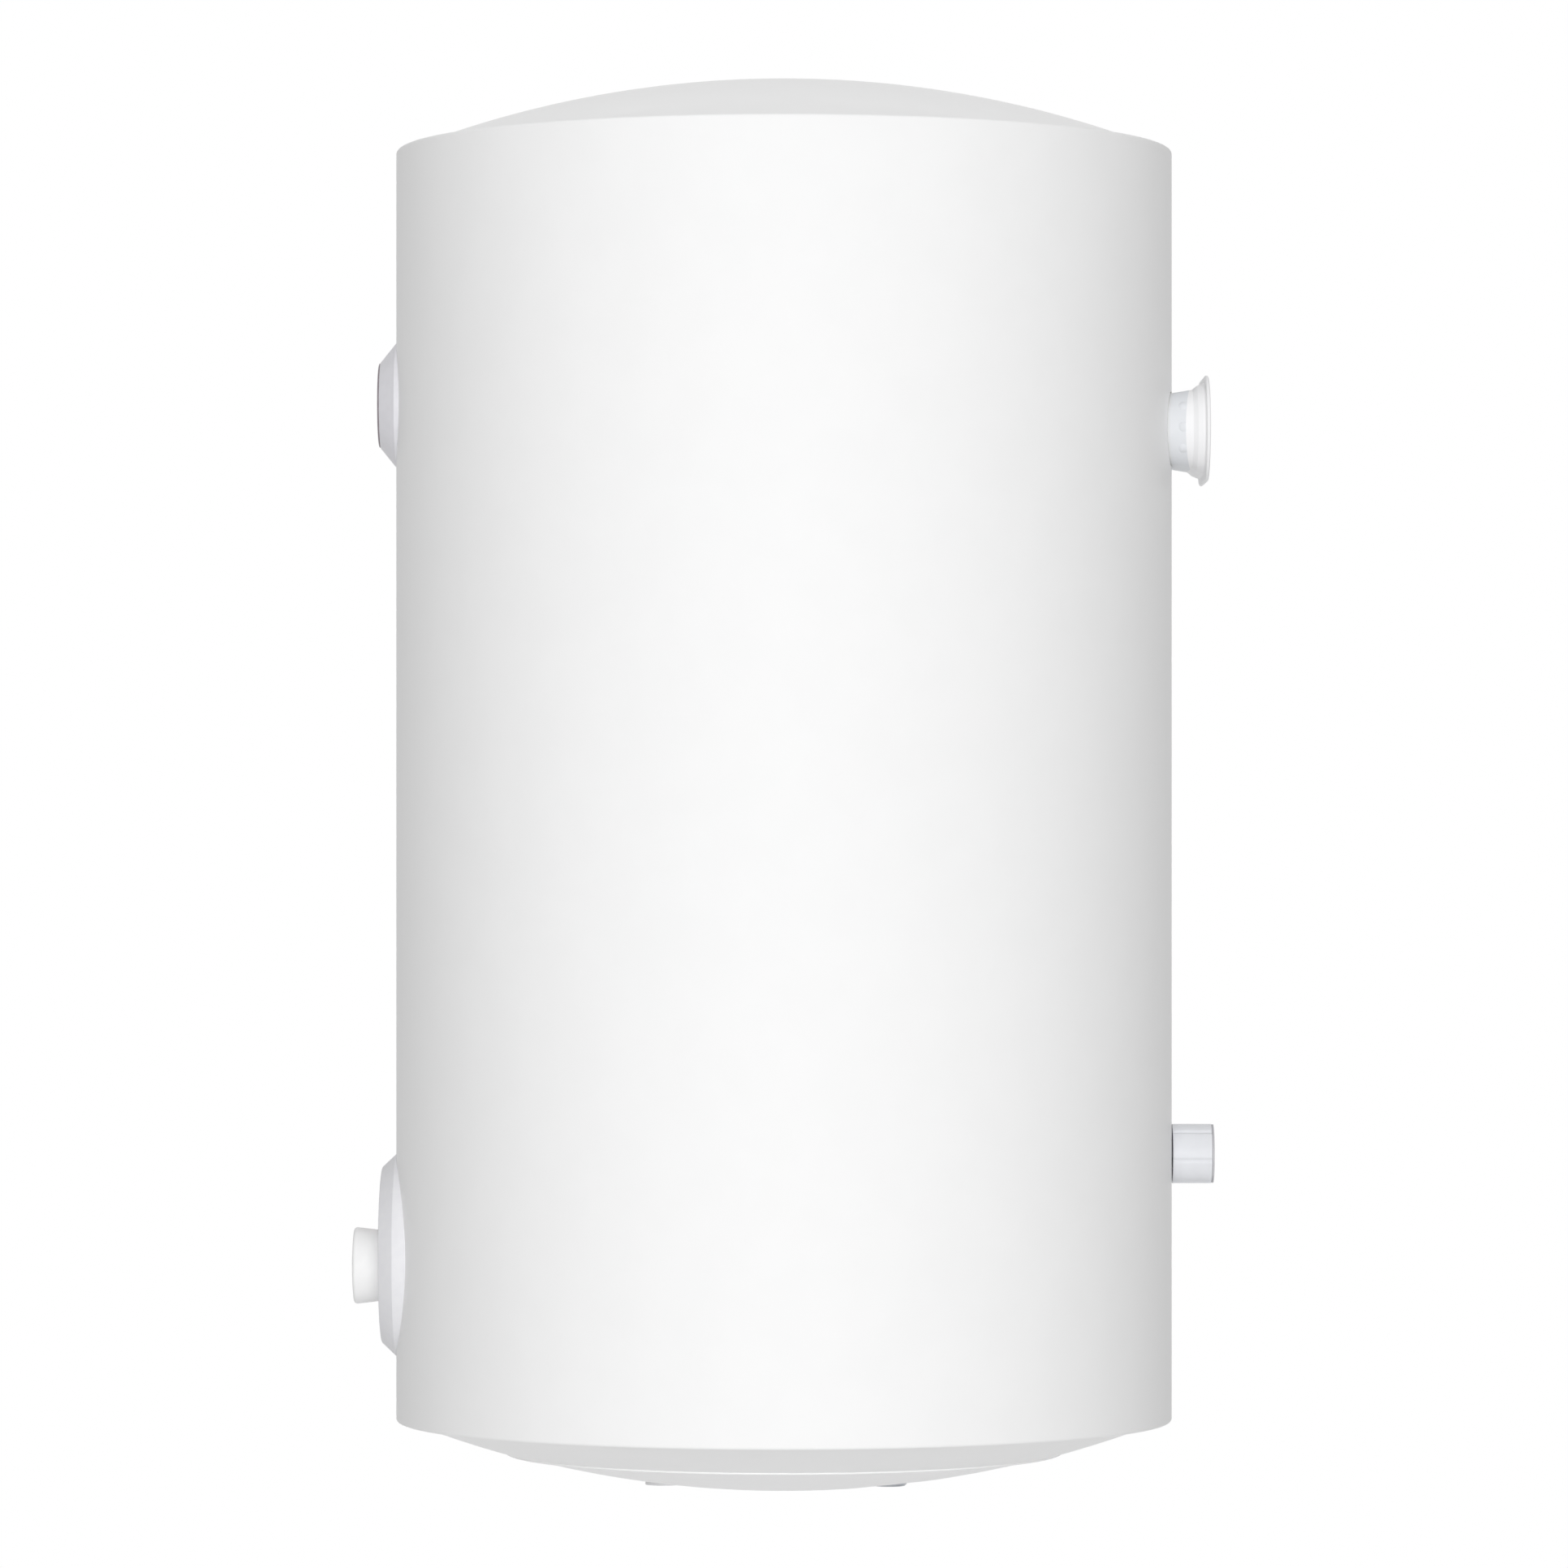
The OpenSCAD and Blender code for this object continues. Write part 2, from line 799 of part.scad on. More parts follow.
// The thermostat's bulb in its pocket and the capillary that leads to the thermostat
module sensor_capillary() {
    bulb_r = pocket_d / 2 - pocket_t - head_gap;
    end = gasket_face - pocket_l + 5;
    turn = nut_face - 2 * capillary_r;
    color("goldenrod") placed() on_flange() {
        translate(pocket_place) {
            rod(bulb_r, end, end + bulb_l);
            rod(capillary_r, end + bulb_l, turn);
        }
        translate([pocket_place[0], pocket_place[1], turn]) {
            sphere(r = capillary_r);
            rotate([0, 90, 0]) cylinder(r = capillary_r, h = capillary_side);
        }
    }
}

module anode_rod() {
    color("darkgray") placed() on_flange() translate(anode_place) {
        rod(anode_d / 2, gasket_face - anode_l, gasket_face);
        rod(anode_pin_d / 2, gasket_face, nut_face);
    }
}

module anode_nut() {
    color("silver") placed() on_flange() translate(anode_place) difference() {
        hexagon(anode_nut_flats, flange_face, nut_face);
        rod(anode_pin_d / 2, flange_face - past, nut_face + past);
    }
}

module stud_nut() {
    difference() {
        hexagon(nut_flats, 0, nut_h);
        rod(stud_d / 2, -past, nut_h + past);
    }
}

// Studs that also hold the component plate
plate_studs = [2, 3];

module flange_nuts() {
    color("silver") placed() on_flange() {
        at_all_studs() translate([0, 0, flange_face]) stud_nut();
        at_studs(plate_studs) translate([0, 0, plate_face]) stud_nut();
    }
}

// Thermostat, terminals and wiring

module component_plate() {
    color("lightgray") placed() on_flange() difference() {
        rod(plate_r, nut_face, plate_face);
        at_all_studs() rod(stud_d / 2 + free_gap, nut_face - past, plate_face + past);
        translate([-window[0] / 2, element_up - window[1] / 2, nut_face - past]) {
            cube([window[0], window[1], plate_t + 2 * past]);
        }
    }
}

module thermostat_body() {
    w = thermostat_size[0];
    h = thermostat_size[1];
    color("ivory") placed() on_knob() difference() {
        union() {
            translate([-w / 2, -h / 2, plate_face]) cube([w, h, body_front - plate_face - 2]);
            rod(8, plate_face, body_front);
            translate(button_place) rod(button_d / 2 + 2, plate_face, body_front);
        }
        rod(spindle_d / 2 + running_fit, body_front - spindle_seat - 1, body_front + past);
        translate(button_place) rod(button_d / 2 + running_fit, body_front - 8, body_front + past);
        translate(body_screw_place) rod(tray_screw_d / 2, plate_face - past, body_front);
        mirror([1, 0, 0]) translate([body_screw_place[0], -body_screw_place[1], 0]) {
            rod(tray_screw_d / 2, plate_face - past, body_front);
        }
    }
}

module thermostat_screws() {
    head = body_front - 2;
    color("silver") placed() on_knob() for (side = [1, -1]) {
        translate(side * [body_screw_place[0], body_screw_place[1], 0]) {
            rod(tray_screw_d / 2, plate_face, head);
            difference() {
                rod(tray_screw_d, head, head + tray_head_h);
                translate([-2 * tray_screw_d, -slot_across / 2, head + tray_head_h - slot_into]) {
                    cube([4 * tray_screw_d, slot_across, tray_head_h]);
                }
            }
        }
    }
}

// A round spindle with a flat along the part that the knob grips
module thermostat_spindle() {
    tip = cover_face + knob_side - 3;
    color("silver") placed() on_knob() difference() {
        rod(spindle_d / 2, body_front - spindle_seat, tip);
        translate([-spindle_d, spindle_d / 2 - spindle_flat, cover_face + 1]) {
            cube([2 * spindle_d, spindle_d, knob_side]);
        }
    }
}

module reset_button() {
    color("red") placed() on_knob() translate(button_place) {
        rod(button_d / 2, body_front - 8 + button_travel + 0.5, body_front + button_proud);
    }
}

module terminal_block() {
    w = block_size[0];
    h = block_size[1];
    color("whitesmoke") placed() on_flange() translate([0, block_up, 0]) difference() {
        translate([-w / 2, -h / 2, plate_face]) cube([w, h, block_depth]);
        for (i = [-1 : 1]) {
            translate([i * pole_pitch, 0, 0]) rod(2.4, plate_face + 3, plate_face + block_depth + past);
            translate([i * pole_pitch, 0, plate_face + 4]) rotate([90, 0, 0]) {
                cylinder(d = wire_d + 0.4, h = h + 2, center = true);
            }
        }
    }
}

module terminal_screws() {
    color("goldenrod") placed() on_flange() translate([0, block_up, 0]) for (i = [-1 : 1]) {
        translate([i * pole_pitch, 0, 0]) difference() {
            rod(2.3, plate_face + 4 + wire_d / 2 + 0.3, plate_face + block_depth - 1);
            translate([-3, -0.4, plate_face + block_depth - 1.8]) cube([6, 0.8, 2]);
        }
    }
}

// Heights of the wires above the component plate, and where the block's lower face lies
wire_low = plate_face + 4;
wire_high = plate_face + 7.5;
block_edge = block_up - block_size[1] / 2;
thermostat_top = thermostat_size[1] / 2 - knob_drop;

module live_wires() {
    tab = flange_face + bead_h + tab_l;
    color("saddlebrown") placed() on_flange() {
        wire([
            [-pole_pitch, block_edge, wire_low],
            [-21, element_up + 3, wire_high],
            [-21, thermostat_top - 7, wire_high],
            [-thermostat_size[0] / 2, thermostat_top - 7 - seam, wire_high]
        ]);
        wire([
            [-thermostat_size[0] / 4, thermostat_top, wire_high],
            [-thermostat_size[0] / 4, element_up - 6, wire_high],
            [-element_half, element_up - 2, tab - 3]
        ]);
    }
}

module neutral_wires() {
    tab = flange_face + bead_h + tab_l;
    color("steelblue") placed() on_flange() wire([
        [pole_pitch, block_up, wire_low],
        [pole_pitch, block_edge - 2, wire_low],
        [element_half + 2, element_up + 5, wire_high],
        [element_half, element_up + 2, tab - 3]
    ]);
}

// From the middle terminal round to an earth tab on the flange
module earth_wire() {
    color("yellowgreen") placed() on_flange() wire([
        [0, block_up, wire_low],
        [0, block_edge - 2, wire_low],
        [0, element_up, wire_low],
        [0, element_up, flange_face]
    ]);
}

// Service compartment and its cover

// A plastic ring that keeps the foam out of the compartment, with posts for the cover screws
module service_well() {
    color("lightgray") placed() difference() {
        on_flange() {
            difference() {
                tube(service_r, service_r - well_wall, tank_r / 2, casing_r);
                coaxial(tank_r);
            }
            for (side = [-1, 1]) {
                translate([side * cover_screw_place[0], cover_screw_place[1], 0]) {
                    tube(post_r, cover_screw_d / 2, post_low, post_high);
                }
                translate([side * (service_r - 4) - 3, cover_screw_place[1] - 1, post_low]) {
                    cube([6, 2, 6]);
                }
            }
        }
        difference() {
            cylinder(r = 2 * casing_r, h = casing_h);
            translate([0, 0, -past]) cylinder(r = casing_r - casing_t, h = casing_h + 2 * past);
            on_front(service_z) rod(service_r - seam, tank_r / 2, casing_r + past);
        }
        translate([conduit_x, -conduit_y(), 0]) {
            rod(conduit_d / 2 - conduit_t, 0, service_z - service_r / 2);
        }
        on_flange() {
            for (side = [-1, 1]) {
                translate([side * cover_screw_place[0], cover_screw_place[1], 0]) {
                    rod(cover_screw_d / 2, post_low - past, post_high + past);
                }
            }
        }
    }
}

module cover_section(inset) {
    r = cover_d / 2 - inset;
    face_r = cover_face_d / 2 - inset * tan(22.5);
    low = sqrt(casing_r * casing_r - cover_d * cover_d / 4) - past;
    polygon([
        [0, low - inset],
        [r, low - inset],
        [r, casing_r - inset * tan(22.5)],
        [face_r, cover_face - inset],
        [0, cover_face - inset]
    ]);
}

module service_cover() {
    head_seat = cover_face - cover_screw_sink - cover_screw_head_h;
    color("gainsboro") placed() on_flange() difference() {
        union() {
            difference() {
                rotate_extrude() cover_section(0);
                rotate_extrude() cover_section(cover_wall);
            }
            for (side = [-1, 1]) {
                translate([side * cover_screw_place[0], cover_screw_place[1], 0]) {
                    rod(post_r, post_high, cover_inner + cover_wall / 2);
                }
            }
        }
        difference() {
            coaxial(casing_r);
            rod(service_r, 0, casing_r + past);
        }
        translate([0, -knob_drop, 0]) rod(spindle_d / 2 + 1, casing_r - past, cover_face + past);
        translate([0, lamp_up, 0]) rod(lamp_d / 2 + 0.1, casing_r, cover_face + past);
        for (side = [-1, 1]) {
            translate([side * cover_screw_place[0], cover_screw_place[1], 0]) {
                rod(cover_screw_d / 2, post_high - past, cover_face + past);
                rod(cover_screw_head_d / 2 + head_gap, head_seat, cover_face + past);
            }
        }
    }
}

module cover_screws() {
    head_seat = cover_face - cover_screw_sink - cover_screw_head_h;
    color("silver") placed() on_flange() for (side = [-1, 1]) {
        translate([side * cover_screw_place[0], cover_screw_place[1], 0]) difference() {
            union() {
                rod(cover_screw_d / 2, post_low, head_seat);
                rod(cover_screw_head_d / 2, head_seat, head_seat + cover_screw_head_h);
            }
            cross_slot(cover_screw_head_d * 0.6, head_seat + cover_screw_head_h - slot_into, cover_face);
        }
    }
}

module pilot_lamp() {
    r = lamp_d / 2 - lens_wall - head_gap;
    color("orange") placed() on_flange() translate([0, lamp_up, 0]) {
        rod(r, cover_inner - lamp_l, cover_face - lens_wall - 2 * free_gap);
    }
}

// A cap lens that is pushed into the cover from the front
module pilot_lens() {
    crown = cap_sphere(lamp_flange / 2, lamp_rise);
    color("red") placed() on_flange() translate([0, lamp_up, 0]) {
        tube(lamp_d / 2, lamp_d / 2 - lens_wall, cover_inner - lens_skirt, cover_face);
        rod(lamp_d / 2 - lens_wall, cover_face - lens_wall, cover_face);
        translate([0, 0, cover_face]) rotate_extrude() intersection() {
            translate([0, lamp_rise - crown]) circle(r = crown);
            square([lamp_flange / 2, lamp_rise]);
        }
    }
}

// The knob's section: a straight side, a rounded corner and a slightly domed end
module knob_section(inset) {
    r = knob_d / 2 - inset;
    low = cover_face + 2 * free_gap;
    corner = knob_corner;
    side_top = cover_face + knob_side;
    dome = knob_end - corner;
    flat_r = r - corner;
    round_r = cap_sphere(flat_r, dome);
    translate([0, low]) square([r, side_top - low - inset]);
    translate([0, low]) square([flat_r, side_top + corner - low - inset]);
    translate([flat_r, side_top - inset]) circle(r = corner, $fn = 64);
    intersection() {
        translate([0, side_top + knob_end - inset - round_r]) circle(r = round_r, $fn = dome_fn);
        translate([0, side_top]) square([flat_r, 2 * knob_end]);
    }
}

module control_knob() {
    wall = 2;
    hub_r = spindle_d / 2 + 2.5;
    mark_w = 1.6;
    mark_depth = 1.1;
    low = cover_face + 2 * free_gap;
    tip = cover_face + knob_side - 3;
    color("white") placed() on_knob() difference() {
        union() {
            difference() {
                rotate_extrude() knob_section(0);
                difference() {
                    rotate_extrude() knob_section(wall);
                    rod(hub_r, low, cover_face + knob_side + knob_end);
                }
                rod(knob_d / 2 - wall, 0, low + seam);
            }
            rod(hub_r, low, low + 1);
        }
        difference() {
            rod(spindle_d / 2 + running_fit, low - past, tip + 0.3);
            translate([-spindle_d, spindle_d / 2 - spindle_flat + running_fit, cover_face + 1.5]) {
                cube([2 * spindle_d, spindle_d, knob_side]);
            }
        }
        translate([-mark_w / 2, knob_d / 4, cover_face + knob_side + knob_end - mark_depth]) {
            cube([mark_w, knob_d / 4 - knob_corner - past, knob_end]);
        }
    }
}

// Thermometer

module bezel_section(inset) {
    slope = (bezel_d - bezel_face_d) / 2 / bezel_h;
    side = inset * sqrt(1 + slope * slope);
    low = sqrt(casing_r * casing_r - bezel_d * bezel_d / 4) - past;
    foot = bezel_d / 2 - side;
    front = bezel_face_d / 2 - side + inset * slope;
    polygon([
        [0, low],
        [foot, low],
        [foot, casing_r],
        [front, bezel_front - inset],
        [0, bezel_front - inset]
    ]);
}

module thermometer_bezel() {
    color("thistle") placed() on_front(dial_z) difference() {
        rotate_extrude() bezel_section(0);
        rotate_extrude() bezel_section(bezel_wall);
        rod(lens_d / 2, casing_r - 20, bezel_front + past);
        difference() {
            coaxial(casing_r);
            rod(case_d / 2, 0, casing_r);
        }
    }
}

module thermometer_lens() {
    outer = cap_sphere(lens_d / 2, lens_rise);
    centre = bezel_front + lens_rise - outer;
    color("azure", 0.4) placed() on_front(dial_z) rotate_extrude() {
        intersection() {
            translate([0, centre]) difference() {
                circle(r = outer, $fn = dome_fn);
                circle(r = outer - lens_t, $fn = dome_fn);
            }
            translate([0, bezel_front - lens_t]) square([lens_d / 2, 2 * lens_rise + lens_t]);
        }
    }
}

// A cup that holds the dial and the stem, pushed in through the casing
module thermometer_case() {
    color("silver") placed() on_front(dial_z) {
        difference() {
            rod(case_d / 2, case_back, dial_face);
            rod(case_d / 2 - case_t, case_back + case_t, dial_face + past);
            rod(stem_d / 2 - stem_t, case_back - past, case_back + 2 * case_t);
        }
    }
}

module thermometer_dial() {
    color("white") placed() on_front(dial_z) {
        tube(case_d / 2 - case_t, pointer_d / 2 + running_fit, dial_face - dial_plate_t, dial_face);
    }
}

// Angle of the pointer at rest, where it shows water at room temperature
pointer_rest = 150;

module thermometer_pointer() {
    low = dial_face + pointer_lift;
    color("red") placed() on_front(dial_z) rotate([0, 0, pointer_rest]) difference() {
        union() {
            translate([0, 0, low]) linear_extrude(pointer_t) {
                polygon([[-6, 1.3], [-6, -1.3], [pointer_l, -0.3], [pointer_l, 0.3]]);
            }
            rod(2.4, low, low + pointer_t + 0.4);
        }
        rod(pointer_d / 2, low - past, low + pointer_t);
    }
}

module pointer_spindle() {
    color("silver") placed() on_front(dial_z) {
        rod(pointer_d / 2, case_back + 2 * case_t, dial_face + pointer_lift + pointer_t);
    }
}

// Flat spiral strip whose inner end stops just short of the spindle
module bimetal_spiral() {
    inner_r = pointer_d / 2 + 2 * running_fit + spiral_strip;
    pitch = 2.4;
    steps = 24 * spiral_turns;
    arm = [for (i = [0 : steps]) inner_r + pitch * i / 24];
    outer_side = [for (i = [0 : steps]) arm[i] * [cos(15 * i), sin(15 * i)]];
    inner_side = [for (i = [steps : -1 : 0]) (arm[i] - spiral_strip) * [cos(15 * i), sin(15 * i)]];
    last = arm[steps];
    color("goldenrod") placed() on_front(dial_z) {
        translate([0, 0, case_back + case_t + 3]) linear_extrude(4) {
            polygon(concat(outer_side, inner_side));
        }
        translate([last - 1, -0.6, case_back + case_t]) cube([1.2, 1.2, 7]);
    }
}

module thermometer_stem() {
    color("silver") placed() on_front(dial_z) {
        tube(stem_d / 2, stem_d / 2 - stem_t, stem_end, case_back);
        rod(stem_d / 2, stem_end - 1, stem_end);
    }
}

// A blind tube welded into the tank wall, which keeps the stem dry
module thermometer_pocket() {
    r = stem_d / 2 + free_gap;
    color("lightsteelblue") placed() on_front(dial_z) {
        tube(r + stem_t, r, stem_end - 1 - free_gap, tank_r + 3);
        rod(r + stem_t, stem_end - 3, stem_end - 1 - free_gap);
    }
}

// Hanging bracket

// The neck's outline as a solid, grown by a clearance, between two distances from the tank axis
module neck_solid(grow, low, high) {
    foot = neck_edge - neck_taper * (joint_reach + casing_r - low) + grow;
    head = neck_edge - neck_taper * (joint_reach + casing_r - high) + grow;
    oblong(bracket_half) polygon([[0, low], [foot, low], [head, high], [0, high]]);
}

// The saddle's sector of a tube, whose bore may be drawn in past the tank's wall
module saddle_solid(inset) {
    intersection() {
        tube(tank_r + saddle_t, tank_r - inset, bracket_z - saddle_h / 2, bracket_z + saddle_h / 2);
        translate([-saddle_half_w, 0, 0]) cube([2 * saddle_half_w, casing_r, casing_h]);
    }
}

// A curved plate welded to the tank, which spreads the bracket's load
module bracket_saddle() {
    color("slategray") placed() saddle_solid(0);
}

// The galvanised neck between the saddle and the painted bracket, with pressed dimples at both ends
module bracket_neck() {
    wall = bracket_t;
    dimple_turn = asin(dimple_pitch / neck_edge);
    dimple_edge = neck_edge - neck_taper * joint_reach / 2 - dimple_r + dimple_rise;
    color("lightslategray") placed() on_wall(bracket_z) difference() {
        union() {
            neck_solid(0, neck_low, casing_r + bracket_reach);
            for (side = [-1, 1]) {
                for (turn = [-1 : 1]) {
                    translate([side * bracket_half, 0, casing_r + joint_reach / 2]) {
                        rotate([0, 0, 90 - 90 * side + turn * dimple_turn]) {
                            translate([dimple_edge, 0, 0]) sphere(r = dimple_r);
                        }
                    }
                }
            }
        }
        neck_solid(-wall, neck_low - past, casing_r + bracket_reach + past);
        coaxial(tank_r + saddle_t);
        difference() {
            coaxial(2 * casing_r);
            coaxial(casing_r + joint_reach);
        }
    }
}

// Outer outline of the flared bracket, drawn in by a wall
module flare_section(wall) {
    reach = casing_r;
    polygon([
        [0, reach],
        [neck_edge - neck_taper * joint_reach - wall, reach],
        [neck_edge - wall, reach + joint_reach],
        [shoulder[0] - wall, reach + shoulder[1]],
        [throat[0] - wall, reach + throat[1]],
        [throat[0] - wall, reach + lip_reach],
        [0, reach + lip_reach]
    ]);
}

module bracket_plate_section() {
    reach = casing_r + lip_reach;
    translate([0, reach]) square([lip_edge - bracket_t / 2, bracket_t]);
    translate([lip_edge - bracket_t / 2, reach + bracket_t / 2]) circle(d = bracket_t, $fn = 48);
    translate([throat[0], reach - throat_r]) difference() {
        square(throat_r);
        translate([throat_r, 0]) circle(r = throat_r, $fn = 64);
    }
}

module wall_bracket() {
    plate_low = casing_r + lip_reach;
    color("white") placed() on_wall(bracket_z) difference() {
        union() {
            oblong(bracket_half) flare_section(0);
            oblong(bracket_half) bracket_plate_section();
        }
        oblong(bracket_half) translate([0, -past]) flare_section(bracket_t);
        coaxial(casing_r + joint_reach);
        for (side = [-1, 1]) {
            translate([side * slot_spacing / 2, 0, plate_low]) {
                oblong_block((slot_l - slot_w) / 2, slot_w / 2, -2 * past, bracket_t + past);
            }
        }
    }
}

// Spacer

module spacer_boss() {
    color("slategray") placed() on_wall(spacer_z) difference() {
        tube(boss_d / 2, spacer_stud_d / 2, tank_r / 2, tank_r + boss_h);
        coaxial(tank_r);
    }
}

module spacer_stud() {
    color("silver") placed() on_wall(spacer_z) rod(spacer_stud_d / 2, tank_r + 1, spacer_stud_end);
}

// A ribbed cup that screws along the stud
module spacer_sleeve() {
    cap_low = sleeve_end - sleeve_cap;
    hub_r = sleeve_hub_d / 2;
    color("lightgray") placed() on_wall(spacer_z) difference() {
        union() {
            tube(spacer_r, spacer_r - sleeve_wall, spacer_start, sleeve_end);
            rod(hub_r, spacer_start, cap_low + past);
            rod(spacer_r - past, cap_low, sleeve_end);
            for (i = [0 : rib_count - 1]) {
                rotate([0, 0, i * 360 / rib_count]) translate([hub_r - past, -rib_t / 2, spacer_start + 2]) {
                    cube([spacer_r - hub_r - past, rib_t, cap_low - spacer_start - 1]);
                }
            }
        }
        rod(spacer_stud_d / 2 + running_fit, spacer_start - past, cap_low);
        rod(pivot_d / 2 + running_fit, cap_low - past, sleeve_end + past);
    }
}

// A soft disc that stays still against the wall while the sleeve turns on its pivot
module spacer_pad() {
    color("gray") placed() on_wall(spacer_z) {
        rod(spacer_r - 0.3, spacer_end - spacer_foot_t, spacer_end);
        rod(pivot_d / 2, spacer_end - spacer_foot_t - pivot_l, spacer_end);
    }
}

casing();
top_cover();
bottom_cover();
bottom_cap();
bottom_cap_screws();
insulation_foam();
inner_tank();
cold_inlet_stub();
hot_outlet_stub();
cold_ring();
hot_ring();
cold_diffuser();
hot_standpipe();
cable_gland();
cable_conduit();
flange_seat();
flange_studs();
flange_gasket();
heater_flange();
heating_element();
element_terminals();
sensor_pocket();
sensor_capillary();
anode_rod();
anode_nut();
flange_nuts();
component_plate();
thermostat_body();
thermostat_spindle();
reset_button();
thermostat_screws();
terminal_block();
terminal_screws();
live_wires();
neutral_wires();
earth_wire();
service_well();
service_cover();
cover_screws();
pilot_lamp();
pilot_lens();
control_knob();
thermometer_bezel();
thermometer_lens();
thermometer_case();
thermometer_dial();
thermometer_pointer();
pointer_spindle();
bimetal_spiral();
thermometer_stem();
thermometer_pocket();
bracket_saddle();
bracket_neck();
wall_bracket();
spacer_boss();
spacer_stud();
spacer_sleeve();
spacer_pad();
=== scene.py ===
# A round wall-hung water heater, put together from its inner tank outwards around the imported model.
import math

import bmesh
import bpy
from mathutils import Matrix, Vector


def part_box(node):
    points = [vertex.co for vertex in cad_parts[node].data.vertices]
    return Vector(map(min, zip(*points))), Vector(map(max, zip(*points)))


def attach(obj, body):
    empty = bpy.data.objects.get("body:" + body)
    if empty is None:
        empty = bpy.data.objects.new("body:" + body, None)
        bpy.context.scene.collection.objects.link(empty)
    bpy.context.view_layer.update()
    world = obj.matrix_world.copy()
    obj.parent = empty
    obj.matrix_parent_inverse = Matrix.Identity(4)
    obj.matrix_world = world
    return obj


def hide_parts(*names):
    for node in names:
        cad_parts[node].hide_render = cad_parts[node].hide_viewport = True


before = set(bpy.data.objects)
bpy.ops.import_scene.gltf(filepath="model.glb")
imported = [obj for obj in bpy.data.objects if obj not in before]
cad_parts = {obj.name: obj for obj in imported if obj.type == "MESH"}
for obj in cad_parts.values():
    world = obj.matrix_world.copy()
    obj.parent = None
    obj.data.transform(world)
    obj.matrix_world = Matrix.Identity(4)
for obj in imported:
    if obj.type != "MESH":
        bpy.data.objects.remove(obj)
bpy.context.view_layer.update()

# --- Camera, floor and light ------------------------------------------------------------------
# The heater hangs free in front of a white studio. One large soft light stands beside the camera
# and one opposite, and white walls all round show in whatever is glossy.
casing_low, casing_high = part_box("casing")
casing_r = (casing_high.y - casing_low.y) / 2
axis_y = (casing_high.y + casing_low.y) / 2
casing_h = casing_high.z - casing_low.z
rim_low, rim_high = casing_low.z, casing_high.z
eye_distance = 18.8 * casing_r
eye_height = rim_low + 0.434 * casing_h
facing_minus_x = (math.radians(90), 0, math.radians(90))
facing_plus_x = (math.radians(90), 0, math.radians(-90))

eye = bpy.data.cameras.new("studio_camera")
eye.lens = 167.1
eye.shift_y = 0.0549
camera = bpy.data.objects.new("studio_camera", eye)
camera.location = (eye_distance, axis_y, eye_height)
camera.rotation_euler = facing_minus_x
bpy.context.scene.collection.objects.link(camera)
bpy.context.scene.camera = camera
bpy.context.scene.view_settings.view_transform = "Standard"


def studio_light(name, turn, strength):
    lamp = bpy.data.lights.new(name, "SUN")
    lamp.energy = strength
    lamp.angle = math.radians(36)
    light = bpy.data.objects.new(name, lamp)
    light.rotation_euler = turn
    light.visible_glossy = False
    bpy.context.scene.collection.objects.link(light)


studio_light("key_light", facing_minus_x, 2.0)
studio_light("opposite_light", facing_plus_x, 2.0)


def wire_up(tree, *links):
    for source, target in links:
        tree.links.new(source, target)


def studio_walls(white, gloss, fill, overhead):
    """White all round, a little greyer in reflections. The light from it is stronger above and below."""
    world = bpy.data.worlds.new("white_studio")
    world.use_nodes = True
    tree = world.node_tree
    tree.nodes.clear()
    path = tree.nodes.new("ShaderNodeLightPath")
    place = tree.nodes.new("ShaderNodeTexCoord")
    split = tree.nodes.new("ShaderNodeSeparateXYZ")
    square = tree.nodes.new("ShaderNodeMath")
    square.operation = "POWER"
    square.inputs[1].default_value = 2
    level = tree.nodes.new("ShaderNodeMath")
    level.operation = "MULTIPLY_ADD"
    level.inputs[1].default_value = overhead
    level.inputs[2].default_value = fill
    upright_only = tree.nodes.new("ShaderNodeMath")
    upright_only.operation = "ABSOLUTE"
    soft = tree.nodes.new("ShaderNodeBackground")
    seen = tree.nodes.new("ShaderNodeBackground")
    seen.inputs["Strength"].default_value = white
    shine = tree.nodes.new("ShaderNodeBackground")
    shine.inputs["Strength"].default_value = gloss
    for background in (soft, seen, shine):
        background.inputs["Color"].default_value = (1, 1, 1, 1)
    lit = tree.nodes.new("ShaderNodeMixShader")
    mix = tree.nodes.new("ShaderNodeMixShader")
    out = tree.nodes.new("ShaderNodeOutputWorld")
    wire_up(tree, (place.outputs["Generated"], split.inputs[0]),
            (split.outputs["Z"], upright_only.inputs[0]),
            (upright_only.outputs[0], square.inputs[0]), (square.outputs[0], level.inputs[0]),
            (level.outputs[0], soft.inputs["Strength"]), (path.outputs["Is Diffuse Ray"], lit.inputs[0]),
            (shine.outputs[0], lit.inputs[1]), (soft.outputs[0], lit.inputs[2]),
            (path.outputs["Is Camera Ray"], mix.inputs[0]), (lit.outputs[0], mix.inputs[1]),
            (seen.outputs[0], mix.inputs[2]), (mix.outputs[0], out.inputs["Surface"]))
    bpy.context.scene.world = world


studio_walls(1.0, 0.86, 0.2, 0.78)


